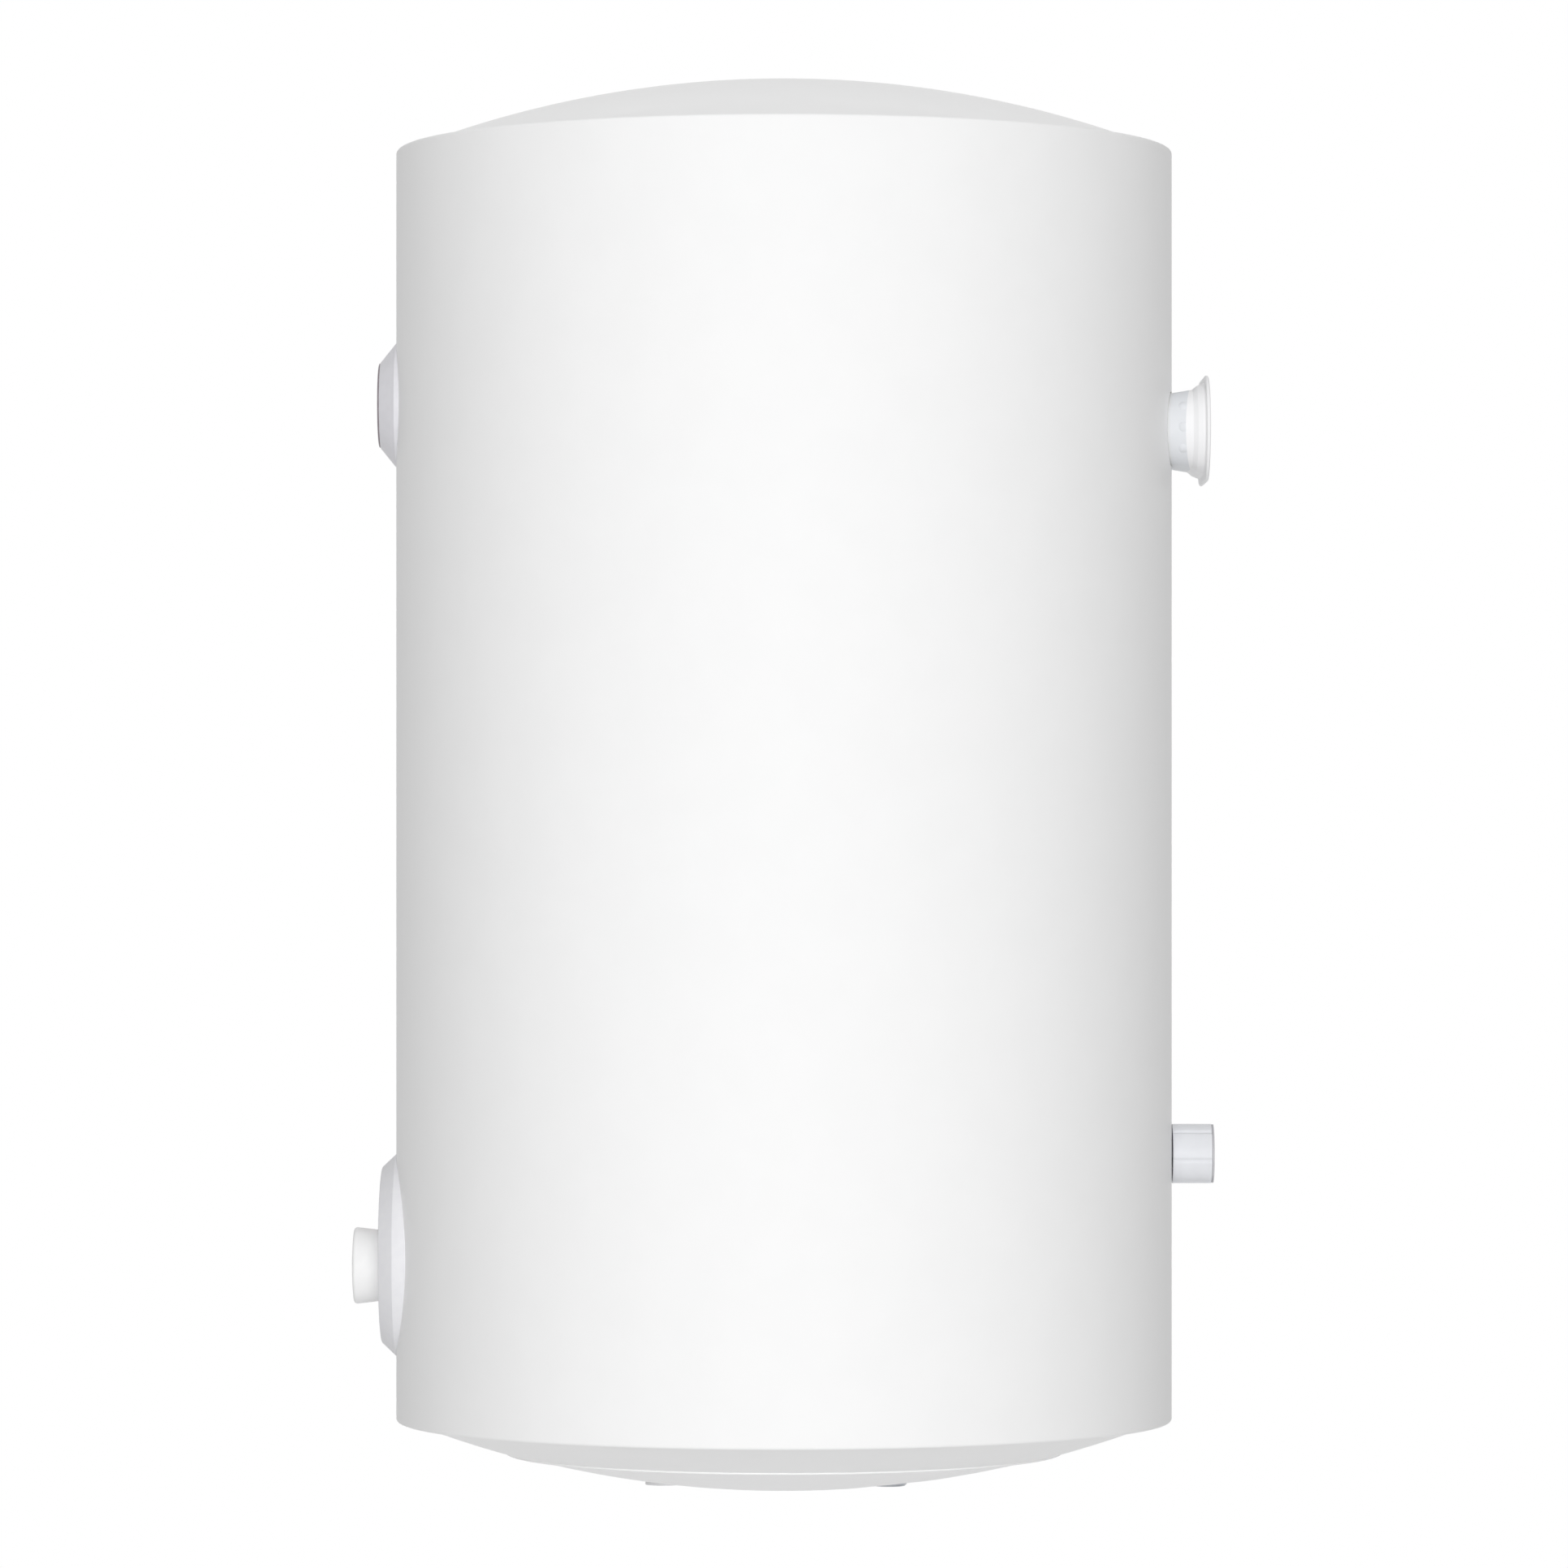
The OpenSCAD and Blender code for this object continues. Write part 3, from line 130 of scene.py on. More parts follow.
def studio_floor(drop, reach):
    """A pale disc that can be seen from above only."""
    mesh = bpy.data.meshes.new("studio_floor")
    shape = bmesh.new()
    bmesh.ops.create_circle(shape, cap_ends=True, segments=128, radius=reach,
                            matrix=Matrix.Translation((0, axis_y, rim_low - drop)))
    shape.to_mesh(mesh)
    shape.free()
    floor = bpy.data.objects.new("studio_floor", mesh)
    bpy.context.scene.collection.objects.link(floor)
    paint = bpy.data.materials.new("pale_floor")
    paint.use_nodes = True
    tree = paint.node_tree
    tree.nodes.clear()
    path = tree.nodes.new("ShaderNodeLightPath")
    side = tree.nodes.new("ShaderNodeNewGeometry")
    level = tree.nodes.new("ShaderNodeMath")
    level.operation = "MULTIPLY_ADD"
    level.inputs[1].default_value = 0.27
    level.inputs[2].default_value = 0.65
    pale = tree.nodes.new("ShaderNodeEmission")
    pale.inputs["Color"].default_value = (1, 1, 1, 1)
    clear_below = tree.nodes.new("ShaderNodeBsdfTransparent")
    mix = tree.nodes.new("ShaderNodeMixShader")
    out = tree.nodes.new("ShaderNodeOutputMaterial")
    wire_up(tree, (path.outputs["Is Camera Ray"], level.inputs[0]),
            (level.outputs[0], pale.inputs["Strength"]),
            (side.outputs["Backfacing"], mix.inputs[0]), (pale.outputs[0], mix.inputs[1]),
            (clear_below.outputs[0], mix.inputs[2]), (mix.outputs[0], out.inputs["Surface"]))
    mesh.materials.append(paint)


studio_floor(1.3, 1.6)

# --- Inner tank -------------------------------------------------------------------------------
# A welded steel vessel, blue glass enamel fired on inside and out. Its two pressed ends are joined to
# the barrel by a girth weld each. The saddle, the flange seat, the boss and the pocket are welded on.


def finish(name, colour, shade, rough, grain, depth, stretch=(1, 1, 1), cells=False, **sockets):
    """A surface whose colour and gloss drift between two states, with a fine relief of that depth."""
    material = bpy.data.materials.new(name)
    material.use_nodes = True
    tree = material.node_tree
    shader = tree.nodes["Principled BSDF"]
    place = tree.nodes.new("ShaderNodeTexCoord")
    scale = tree.nodes.new("ShaderNodeMapping")
    scale.inputs["Scale"].default_value = stretch
    drift = tree.nodes.new("ShaderNodeTexNoise")
    drift.inputs["Scale"].default_value = grain / 12
    drift.inputs["Detail"].default_value = 3
    tint = tree.nodes.new("ShaderNodeValToRGB")
    tint.color_ramp.elements[0].position = 0.35
    tint.color_ramp.elements[0].color = (*shade, 1)
    tint.color_ramp.elements[1].position = 0.65
    tint.color_ramp.elements[1].color = (*colour, 1)
    gloss = tree.nodes.new("ShaderNodeMapRange")
    gloss.inputs["To Min"].default_value = rough[0]
    gloss.inputs["To Max"].default_value = rough[1]
    fine = tree.nodes.new("ShaderNodeTexVoronoi" if cells else "ShaderNodeTexNoise")
    fine.inputs["Scale"].default_value = grain
    relief = tree.nodes.new("ShaderNodeBump")
    relief.inputs["Distance"].default_value = depth
    wire_up(tree, (place.outputs["Object"], scale.inputs["Vector"]),
            (scale.outputs["Vector"], drift.inputs["Vector"]),
            (scale.outputs["Vector"], fine.inputs["Vector"]),
            (drift.outputs[0], tint.inputs["Fac"]), (tint.outputs["Color"], shader.inputs["Base Color"]),
            (drift.outputs[0], gloss.inputs["Value"]), (gloss.outputs[0], shader.inputs["Roughness"]),
            (fine.outputs[0], relief.inputs["Height"]), (relief.outputs["Normal"], shader.inputs["Normal"]))
    for socket, value in sockets.items():
        shader.inputs[socket.replace("_", " ")].default_value = value
    return material


def dress(material, *nodes):
    for node in nodes:
        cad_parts[node].material_slots[0].material = material


def fit(piece, body, slot, *stands_for):
    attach(piece, body)
    if stands_for:
        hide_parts(*stands_for)


def grow_tree(name, inputs):
    """An empty geometry tree with named inputs, its input node and its output node."""
    tree = bpy.data.node_groups.new(name, "GeometryNodeTree")
    for label, kind in inputs:
        tree.interface.new_socket(label, in_out="INPUT", socket_type="NodeSocket" + kind)
    tree.interface.new_socket("Geometry", in_out="OUTPUT", socket_type="NodeSocketGeometry")
    return tree, tree.nodes.new("NodeGroupInput"), tree.nodes.new("NodeGroupOutput")


def end_tree(tree, given, out, geometry):
    realize = tree.nodes.new("GeometryNodeRealizeInstances")
    coat = tree.nodes.new("GeometryNodeSetMaterial")
    wire_up(tree, (geometry, realize.inputs[0]), (realize.outputs[0], coat.inputs["Geometry"]),
            (given.outputs["Material"], coat.inputs["Material"]), (coat.outputs[0], out.inputs[0]))


def mesh_of(holder):
    bpy.context.view_layer.update()
    graph = bpy.context.evaluated_depsgraph_get()
    return bpy.data.meshes.new_from_object(holder.evaluated_get(graph), depsgraph=graph)


def grown(name, tree, place, **values):
    """The plain mesh that a tree makes from those inputs, set in place."""
    holder = bpy.data.objects.new(name + ".growing", bpy.data.meshes.new(name))
    bpy.context.scene.collection.objects.link(holder)
    modifier = holder.modifiers.new("grow", "NODES")
    modifier.node_group = tree
    for item in tree.interface.items_tree:
        key = item.name.replace(" ", "_").lower()
        if item.in_out == "INPUT" and key in values:
            modifier[item.identifier] = values[key]
    mesh = mesh_of(holder)
    bpy.data.objects.remove(holder)
    mesh.transform(place)
    mesh.name = name
    piece = bpy.data.objects.new(name, mesh)
    bpy.context.scene.collection.objects.link(piece)
    return piece


def bead_tree():
    """A weld bead: overlapping ripples set round a circle."""
    tree, given, out = grow_tree("weld_bead", [("Radius", "Float"), ("Ripple", "Float"), ("Count", "Int"),
                                               ("Material", "Material")])
    ring = tree.nodes.new("GeometryNodeCurvePrimitiveCircle")
    ring.inputs["Resolution"].default_value = 128
    points = tree.nodes.new("GeometryNodeCurveToPoints")
    ripple = tree.nodes.new("GeometryNodeMeshIcoSphere")
    ripple.inputs["Subdivisions"].default_value = 2
    flat = tree.nodes.new("ShaderNodeCombineXYZ")
    for axis in range(3):
        flat.inputs[axis].default_value = (1.0, 0.42, 1.25)[axis]
    stamp = tree.nodes.new("GeometryNodeInstanceOnPoints")
    wire_up(tree, (given.outputs["Radius"], ring.inputs["Radius"]), (ring.outputs[0], points.inputs[0]),
            (given.outputs["Count"], points.inputs["Count"]), (points.outputs[0], stamp.inputs["Points"]),
            (given.outputs["Ripple"], ripple.inputs["Radius"]),
            (ripple.outputs[0], stamp.inputs["Instance"]),
            (points.outputs["Rotation"], stamp.inputs["Rotation"]), (flat.outputs[0], stamp.inputs["Scale"]))
    end_tree(tree, given, out, stamp.outputs[0])
    return tree


def upright(height):
    return Matrix.Translation((0, axis_y, height))


def on_front(height, across=0.0):
    """A frame on the front: x across, y up, z out from the tank's axis."""
    return Matrix.Translation((across, axis_y, height)) @ Matrix.Rotation(math.radians(90), 4, "X")


def on_wall(height):
    """The same towards the wall."""
    half_turn = Matrix.Rotation(math.radians(180), 4, "Z")
    return Matrix.Translation((0, axis_y, height)) @ half_turn @ Matrix.Rotation(math.radians(90), 4, "X")


tank_low, tank_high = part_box("inner_tank")
tank_r = (tank_high.y - tank_low.y) / 2
girth_inset = 0.048
tank_enamel = finish("blue_glass_enamel", (0.035, 0.11, 0.26), (0.025, 0.075, 0.19), (0.12, 0.3),
                     260, 0.0003)
weld_steel = finish("weld_scale", (0.12, 0.13, 0.17), (0.05, 0.06, 0.09), (0.35, 0.6), 500, 0.0004,
                    Metallic=0.6)
dress(tank_enamel, "inner_tank", "flange_seat", "bracket_saddle", "thermometer_pocket")
weld_bead = bead_tree()
for end, height in (("lower", rim_low + girth_inset), ("upper", rim_high - girth_inset)):
    seam = grown(end + "_girth_weld", weld_bead, upright(height), radius=tank_r, ripple=0.0022, count=300,
                 material=weld_steel)
    fit(seam, "heater", "tank_enamel")

# --- Water connections ------------------------------------------------------------------------
# Two zinc-plated pipe stubs with a rolled half-inch thread at the tip. A blue ring marks the cold one
# and a red ring the hot one. Inside the tank are the cold diffuser and the hot standpipe.


def thread_tree():
    """One helical crest, wound up a stub."""
    tree, given, out = grow_tree("rolled_thread", [
        ("Radius", "Float"), ("Crest", "Float"), ("Turns", "Float"), ("Length", "Float"),
        ("Material", "Material")])
    helix = tree.nodes.new("GeometryNodeCurveSpiral")
    helix.inputs["Resolution"].default_value = 72
    crest = tree.nodes.new("GeometryNodeCurvePrimitiveCircle")
    crest.inputs["Resolution"].default_value = 6
    sweep = tree.nodes.new("GeometryNodeCurveToMesh")
    sweep.inputs["Fill Caps"].default_value = True
    wire_up(tree, (given.outputs["Radius"], helix.inputs["Start Radius"]),
            (given.outputs["Radius"], helix.inputs["End Radius"]),
            (given.outputs["Turns"], helix.inputs["Rotations"]),
            (given.outputs["Length"], helix.inputs["Height"]),
            (given.outputs["Crest"], crest.inputs["Radius"]), (helix.outputs[0], sweep.inputs["Curve"]),
            (crest.outputs[0], sweep.inputs["Profile Curve"]))
    end_tree(tree, given, out, sweep.outputs[0])
    return tree


zinc_steel = finish("zinc_plate", (0.62, 0.64, 0.66), (0.45, 0.47, 0.5), (0.25, 0.42),
                    900, 0.00008, Metallic=1.0)
blue_ring = finish("blue_moulding", (0.03, 0.13, 0.55), (0.025, 0.1, 0.46), (0.35, 0.5), 1500, 0.00006)
red_ring = finish("red_moulding", (0.55, 0.03, 0.03), (0.46, 0.025, 0.025), (0.35, 0.5), 1500, 0.00006)
natural_plastic = finish("natural_polypropylene", (0.8, 0.8, 0.76), (0.72, 0.72, 0.68), (0.4, 0.55),
                         800, 0.0001, Subsurface_Weight=0.1, Subsurface_Radius=(0.002, 0.002, 0.002))
stainless = finish("stainless_tube", (0.55, 0.54, 0.52), (0.42, 0.41, 0.4), (0.22, 0.38), 700, 0.00005,
                   stretch=(1, 1, 0.08), Metallic=1.0)
thread_pitch = 0.001814
thread_length = 0.0165
thread_r = 0.0104775
rolled_thread = thread_tree()
for stub, ring_paint, ring in (("cold_inlet_stub", blue_ring, "cold_ring"),
                               ("hot_outlet_stub", red_ring, "hot_ring")):
    stub_low, stub_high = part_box(stub)
    foot = Matrix.Translation(((stub_low.x + stub_high.x) / 2, (stub_low.y + stub_high.y) / 2,
                               stub_low.z + 0.001))
    dress(zinc_steel, stub)
    dress(ring_paint, ring)
    crest = grown(stub + "_thread", rolled_thread, foot, radius=thread_r - 0.00012, crest=0.00042,
                  turns=thread_length / thread_pitch, length=thread_length, material=zinc_steel)
    fit(crest, "heater", "zinc_steel")
dress(natural_plastic, "cold_diffuser")
dress(stainless, "hot_standpipe")

# --- Heater flange and what it carries --------------------------------------------------------
# A steel flange on five studs closes the tank over a rubber gasket. It carries the copper element,
# the dry pocket of the thermostat's bulb and the cast magnesium anode.
copper = finish("drawn_copper", (0.72, 0.36, 0.2), (0.5, 0.22, 0.12), (0.22, 0.45),
                500, 0.0001, Metallic=1.0)
black_rubber = finish("black_rubber", (0.02, 0.02, 0.022), (0.035, 0.035, 0.035), (0.6, 0.8), 1800, 0.0001)
ceramic = finish("glazed_ceramic", (0.82, 0.78, 0.66), (0.74, 0.7, 0.58), (0.15, 0.3), 900, 0.00005)
magnesium = finish("cast_magnesium", (0.55, 0.56, 0.57), (0.36, 0.37, 0.38), (0.5, 0.75),
                   420, 0.0005, Metallic=0.9)
dress(zinc_steel, "flange_studs", "heater_flange", "flange_nuts", "anode_nut")
dress(black_rubber, "flange_gasket")
dress(copper, "heating_element", "sensor_pocket", "sensor_capillary")
dress(ceramic, "element_terminals")
dress(magnesium, "anode_rod")

# --- Insulation -------------------------------------------------------------------------------
# Rigid polyurethane, foamed in place between the tank and the casing, with a fine open-cell skin.
foam = finish("rigid_foam", (0.78, 0.66, 0.38), (0.68, 0.55, 0.28), (0.8, 0.95), 420, 0.0012, cells=True)
dress(foam, "insulation_foam")

# --- Casing -----------------------------------------------------------------------------------
# A rolled cylinder of steel sheet, powder-coated white. Both edges are turned in over the end covers
# with a small radius, and openings are punched for the thermometer, the heater, the neck and the spacer.


def rounded(corners, steps=6):
    """A closed outline from corners (x, y, radius), with an arc in place of each corner."""
    outline = []
    for i, (x, y, radius) in enumerate(corners):
        here = Vector((x, y))
        if radius == 0:
            outline.append(here)
            continue
        back = (Vector(corners[i - 1][:2]) - here).normalized()
        ahead = (Vector(corners[(i + 1) % len(corners)][:2]) - here).normalized()
        half = back.angle(ahead) / 2
        centre = here + (back + ahead).normalized() * (radius / math.sin(half))
        start = here + back * (radius / math.tan(half)) - centre
        stop = here + ahead * (radius / math.tan(half)) - centre
        turn = math.atan2(start.x * stop.y - start.y * stop.x, start.dot(stop))
        for k in range(steps + 1):
            outline.append(centre + Matrix.Rotation(turn * k / steps, 2) @ start)
    return outline


def arc(sphere_r, apex, inner_r, outer_r, steps=24):
    """Points on a dome with its apex at that height, from one distance from its axis to another."""
    radii = [inner_r + (outer_r - inner_r) * k / steps for k in range(steps + 1)]
    drop = [sphere_r - math.sqrt(sphere_r * sphere_r - r * r) for r in radii]
    return [Vector((r, apex - math.copysign(d, apex))) for r, d in zip(radii, drop)]


def smooth_faces(mesh, crease=math.radians(38)):
    shape = bmesh.new()
    shape.from_mesh(mesh)
    bmesh.ops.remove_doubles(shape, verts=shape.verts, dist=1e-6)
    for face in shape.faces:
        face.smooth = True
    for edge in shape.edges:
        edge.smooth = len(edge.link_faces) == 2 and edge.calc_face_angle(0) < crease
    shape.to_mesh(mesh)
    shape.free()


def spun(name, outline, place, material, segments=256, stretch=0.0, swell=None):
    """An outline carried round an axis, or round an oblong path where stretch is half its straight."""
    path = []
    for k in range(segments):
        angle = 2 * math.pi * k / segments
        side = 1 if math.cos(angle) > 1e-9 else -1 if math.cos(angle) < -1e-9 else 0
        for s in ((side,) if side or not stretch else ((1, -1) if math.sin(angle) > 0 else (-1, 1))):
            path.append((angle, s * stretch))
    shape = bmesh.new()
    rings = []
    for angle, offset in path:
        turn = (math.cos(angle), math.sin(angle))
        rings.append([shape.verts.new((offset + (p.x + (swell(angle, p) if swell else 0)) * turn[0],
                                       (p.x + (swell(angle, p) if swell else 0)) * turn[1], p.y))
                      for p in outline])
    count = len(outline)
    for i, ring in enumerate(rings):
        after = rings[(i + 1) % len(rings)]
        for j in range(count):
            if outline[j].x == 0 and outline[(j + 1) % count].x == 0:
                continue
            shape.faces.new((ring[j], ring[(j + 1) % count], after[(j + 1) % count], after[j]))
    bmesh.ops.remove_doubles(shape, verts=shape.verts, dist=1e-7)
    bmesh.ops.dissolve_degenerate(shape, edges=shape.edges, dist=1e-7)
    bmesh.ops.recalc_face_normals(shape, faces=shape.faces)
    mesh = bpy.data.meshes.new(name)
    shape.to_mesh(mesh)
    shape.free()
    mesh.transform(place)
    mesh.materials.append(material)
    piece = bpy.data.objects.new(name, mesh)
    bpy.context.scene.collection.objects.link(piece)
    smooth_faces(mesh)
    return piece


def plug(radius, low, high, place, stretch=0.0, segments=96):
    """A plain solid that is only used to cut."""
    outline = [Vector(p) for p in ((0, low), (radius, low), (radius, high), (0, high))]
    return spun("plug", outline, place, None, segments, stretch)


def cut_out(piece, *cutters):
    """Cuts the plugs out of a piece, and drops them."""
    for cutter in cutters:
        cut = piece.modifiers.new("cut", "BOOLEAN")
        cut.operation = "DIFFERENCE"
        cut.solver = "EXACT"
        cut.object = cutter
    mesh = mesh_of(piece)
    piece.modifiers.clear()
    piece.data = mesh
    mesh.name = piece.name
    for cutter in cutters:
        bpy.data.objects.remove(cutter)
    smooth_faces(mesh)
    return piece


sheet_t = 0.001
rim_w = 0.007
rim_fillet = 0.002
dome_base_r = casing_r - rim_w
service_z = (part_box("service_cover")[0].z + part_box("service_cover")[1].z) / 2
service_r = 0.0505
dial_z = (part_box("thermometer_bezel")[0].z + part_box("thermometer_bezel")[1].z) / 2
dial_hole_r = 0.0228
spacer_z = (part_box("spacer_sleeve")[0].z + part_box("spacer_sleeve")[1].z) / 2
boss_hole_r = 0.0093
bracket_z = 0.0
neck_low, neck_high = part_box("bracket_neck")
neck_r = (neck_high.z - neck_low.z) / 2
neck_stretch = (neck_high.x - neck_low.x) / 2 - neck_r
white_enamel = finish("white_powder_coat", (0.935, 0.935, 0.935), (0.925, 0.925, 0.925), (0.38, 0.44),
                      420, 0.00002, Specular_IOR_Level=0.32)
inner_rim_fillet = rim_fillet - sheet_t
casing_outline = rounded([
    (dome_base_r, rim_low, 0), (casing_r, rim_low, rim_fillet), (casing_r, rim_high, rim_fillet),
    (dome_base_r, rim_high, 0), (dome_base_r, rim_high - sheet_t, 0),
    (casing_r - sheet_t, rim_high - sheet_t, inner_rim_fillet),
    (casing_r - sheet_t, rim_low + sheet_t, inner_rim_fillet),
    (dome_base_r, rim_low + sheet_t, 0)])
shell = spun("casing_shell", casing_outline, upright(0), white_enamel, segments=384)
cut_out(shell,
        plug(service_r, tank_r, casing_r + rim_w, on_front(service_z)),
        plug(dial_hole_r, tank_r, casing_r + rim_w, on_front(dial_z)),
        plug(boss_hole_r, tank_r, casing_r + rim_w, on_wall(spacer_z)),
        plug(neck_r - 0.001, tank_r, casing_r + rim_w, on_wall(bracket_z), neck_stretch))
fit(shell, "heater", "white_enamel", "casing")

# --- End covers -------------------------------------------------------------------------------
# Pressed steel domes in a slightly duller white. The top one is closed. The lower one is a ring whose
# inner edge is rolled into a glossier lip round the plastic cap, coloured a touch lighter as a painted
# highlight, with a hidden ledge for its screws.
cover_enamel = finish("end_cover_coat", (0.93, 0.93, 0.93), (0.915, 0.915, 0.915), (0.32, 0.38),
                      420, 0.00002, Specular_IOR_Level=0.3)
dome_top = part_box("top_cover")[1].z
dome_rise = dome_top - rim_high
dome_sphere = (dome_base_r ** 2 + (dome_rise + sheet_t) ** 2) / (2 * (dome_rise + sheet_t))
flange_turn = casing_r - sheet_t - 0.0003
base_r = dome_base_r - sheet_t


def dome(apex_to, inner_r, direction):
    """The section of a domed sheet with a flat edge, rising or falling from its rim."""
    outer = arc(dome_sphere, dome_rise, inner_r, base_r, 64)
    edge = [Vector((flange_turn, -sheet_t)), Vector((flange_turn, -2 * sheet_t))]
    inner = [Vector((p.x, p.y - sheet_t)) for p in reversed(outer)]
    foot = [Vector((dome_base_r, -sheet_t))]
    return [Vector((p.x, apex_to + direction * p.y)) for p in outer + foot + edge + inner]


lid = spun("top_dome", dome(rim_high, 0.0, 1), upright(0), cover_enamel)
fit(lid, "heater", "end_cover_enamel", "top_cover")
cap_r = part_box("bottom_cap")[1].x
lip_r = 0.0011
lip_inner_r = cap_r + 0.001
ring_inner_r = lip_inner_r + lip_r
lower = spun("bottom_dome", dome(rim_low, ring_inner_r, -1), upright(0), cover_enamel)
fall_at_lip = dome_rise - (dome_sphere - math.sqrt(dome_sphere ** 2 - lip_inner_r ** 2))
lip_z = rim_low - fall_at_lip
bead_outline = [Vector((ring_inner_r + lip_r * math.cos(a), lip_z + lip_r / 2 + lip_r * math.sin(a)))
                for a in (2 * math.pi * k / 20 for k in range(20))]
# A touch lighter than the ring's own white: a painted highlight along the rolled edge.
lip_painted_highlight = finish("rolled_lip_coat", (0.95, 0.95, 0.95), (0.94, 0.94, 0.94), (0.2, 0.26), 420, 0.00001)
lip = spun("bottom_rolled_lip", bead_outline, upright(0), lip_painted_highlight)
ledge = [Vector(p) for p in ((lip_inner_r, lip_z + lip_r / 2), (lip_inner_r + sheet_t, lip_z + lip_r / 2),
                             (lip_inner_r + sheet_t, lip_z + 0.005), (lip_inner_r - 0.014, lip_z + 0.005),
                             (lip_inner_r - 0.014, lip_z + 0.004), (lip_inner_r, lip_z + 0.004))]
shelf = spun("bottom_ledge", ledge, upright(0), cover_enamel)
fit(lower, "heater", "end_cover_enamel", "bottom_cover")
fit(lip, "heater", "end_cover_enamel")
fit(shelf, "heater", "end_cover_enamel")

# --- Bottom cap, gland and conduit ------------------------------------------------------------
# A moulded cap with a deep well for the two stubs, held by two countersunk screws. The supply cable
# enters through a nylon gland and climbs to the heater flange in a plastic conduit.
cap_plastic = finish("white_abs", (0.97, 0.97, 0.972), (0.955, 0.955, 0.958), (0.34, 0.42), 1800, 0.00002)
nylon = finish("pale_grey_nylon", (0.72, 0.72, 0.73), (0.66, 0.66, 0.67), (0.35, 0.5), 1600, 0.00006)
grey_pvc = finish("grey_pvc", (0.4, 0.41, 0.42), (0.34, 0.35, 0.36), (0.4, 0.55), 1200, 0.00008)
dress(cap_plastic, "bottom_cap")
dress(finish("painted_screw_head", (0.86, 0.86, 0.865), (0.82, 0.82, 0.825), (0.3, 0.4), 2400, 0.00003),
      "bottom_cap_screws")
dress(nylon, "cable_gland")
dress(grey_pvc, "cable_conduit")

# --- Thermostat, terminals and wiring ---------------------------------------------------------
# A galvanised plate on two studs carries the thermostat and the terminal block. Brown, blue and
# green-yellow wires join them to the element and to the flange, inside a moulded well.


def wire_cover(name, colour, stripe):
    """Wire insulation with a second colour in a narrow band along it."""
    material = finish(name, colour, colour, (0.35, 0.5), 1200, 0.00005)
    ramp = next(n for n in material.node_tree.nodes if n.type == "VALTORGB")
    ramp.color_ramp.elements[0].position = 0.46
    ramp.color_ramp.elements[0].color = (*stripe, 1)
    ramp.color_ramp.elements[1].position = 0.5
    return material


ivory = finish("ivory_bakelite", (0.74, 0.7, 0.58), (0.66, 0.62, 0.5), (0.3, 0.45), 1100, 0.00008)
brass = finish("turned_brass", (0.72, 0.52, 0.22), (0.58, 0.4, 0.15), (0.25, 0.4),
               900, 0.00005, Metallic=1.0)
spangle = finish("galvanised_sheet", (0.66, 0.68, 0.7), (0.55, 0.57, 0.6), (0.32, 0.5), 160, 0.00005,
                 cells=True, Metallic=0.9)
grey_plastic = finish("light_grey_abs", (0.78, 0.78, 0.8), (0.76, 0.76, 0.785), (0.36, 0.46), 2200, 0.00003)
dress(spangle, "component_plate")
dress(ivory, "thermostat_body")
dress(zinc_steel, "thermostat_spindle", "thermostat_screws")
dress(red_ring, "reset_button")
dress(natural_plastic, "terminal_block")
dress(brass, "terminal_screws")
dress(wire_cover("brown_wire", (0.16, 0.06, 0.025), (0.13, 0.05, 0.02)), "live_wires")
dress(wire_cover("blue_wire", (0.03, 0.16, 0.5), (0.025, 0.13, 0.42)), "neutral_wires")
dress(wire_cover("green_yellow_wire", (0.1, 0.42, 0.06), (0.8, 0.7, 0.05)), "earth_wire")
dress(grey_plastic, "service_well")

# --- Service cover ----------------------------------------------------------------------------
# A bevelled disc of light grey plastic that seats on the round casing. Two screws hold it, a pilot
# lamp shows through it above the knob. From there a scale of growing dots runs 240 degrees clockwise.


def dot_tree():
    """Dots along an arc, each larger than the one before."""
    tree, given, out = grow_tree("scale_dots", [("Radius", "Float"), ("Count", "Int"), ("Start", "Float"),
                                                ("Sweep", "Float"), ("First", "Float"), ("Step", "Float"),
                                                ("Material", "Material")])
    track = tree.nodes.new("GeometryNodeCurveArc")
    track.inputs["Resolution"].default_value = 96
    points = tree.nodes.new("GeometryNodeCurveToPoints")
    dot = tree.nodes.new("GeometryNodeMeshCylinder")
    dot.inputs["Vertices"].default_value = 24
    dot.inputs["Radius"].default_value = 1.0
    dot.inputs["Depth"].default_value = 0.0003
    index = tree.nodes.new("GeometryNodeInputIndex")
    size = tree.nodes.new("ShaderNodeMath")
    size.operation = "MULTIPLY_ADD"
    spread = tree.nodes.new("ShaderNodeCombineXYZ")
    spread.inputs["Z"].default_value = 1.0
    stamp = tree.nodes.new("GeometryNodeInstanceOnPoints")
    wire_up(tree, (given.outputs["Radius"], track.inputs["Radius"]),
            (given.outputs["Start"], track.inputs["Start Angle"]),
            (given.outputs["Sweep"], track.inputs["Sweep Angle"]), (track.outputs[0], points.inputs[0]),
            (given.outputs["Count"], points.inputs["Count"]), (points.outputs[0], stamp.inputs["Points"]),
            (dot.outputs["Mesh"], stamp.inputs["Instance"]), (index.outputs[0], size.inputs[0]),
            (given.outputs["Step"], size.inputs[1]), (given.outputs["First"], size.inputs[2]),
            (size.outputs[0], spread.inputs["X"]), (size.outputs[0], spread.inputs["Y"]),
            (spread.outputs[0], stamp.inputs["Scale"]))
    end_tree(tree, given, out, stamp.outputs[0])
    return tree


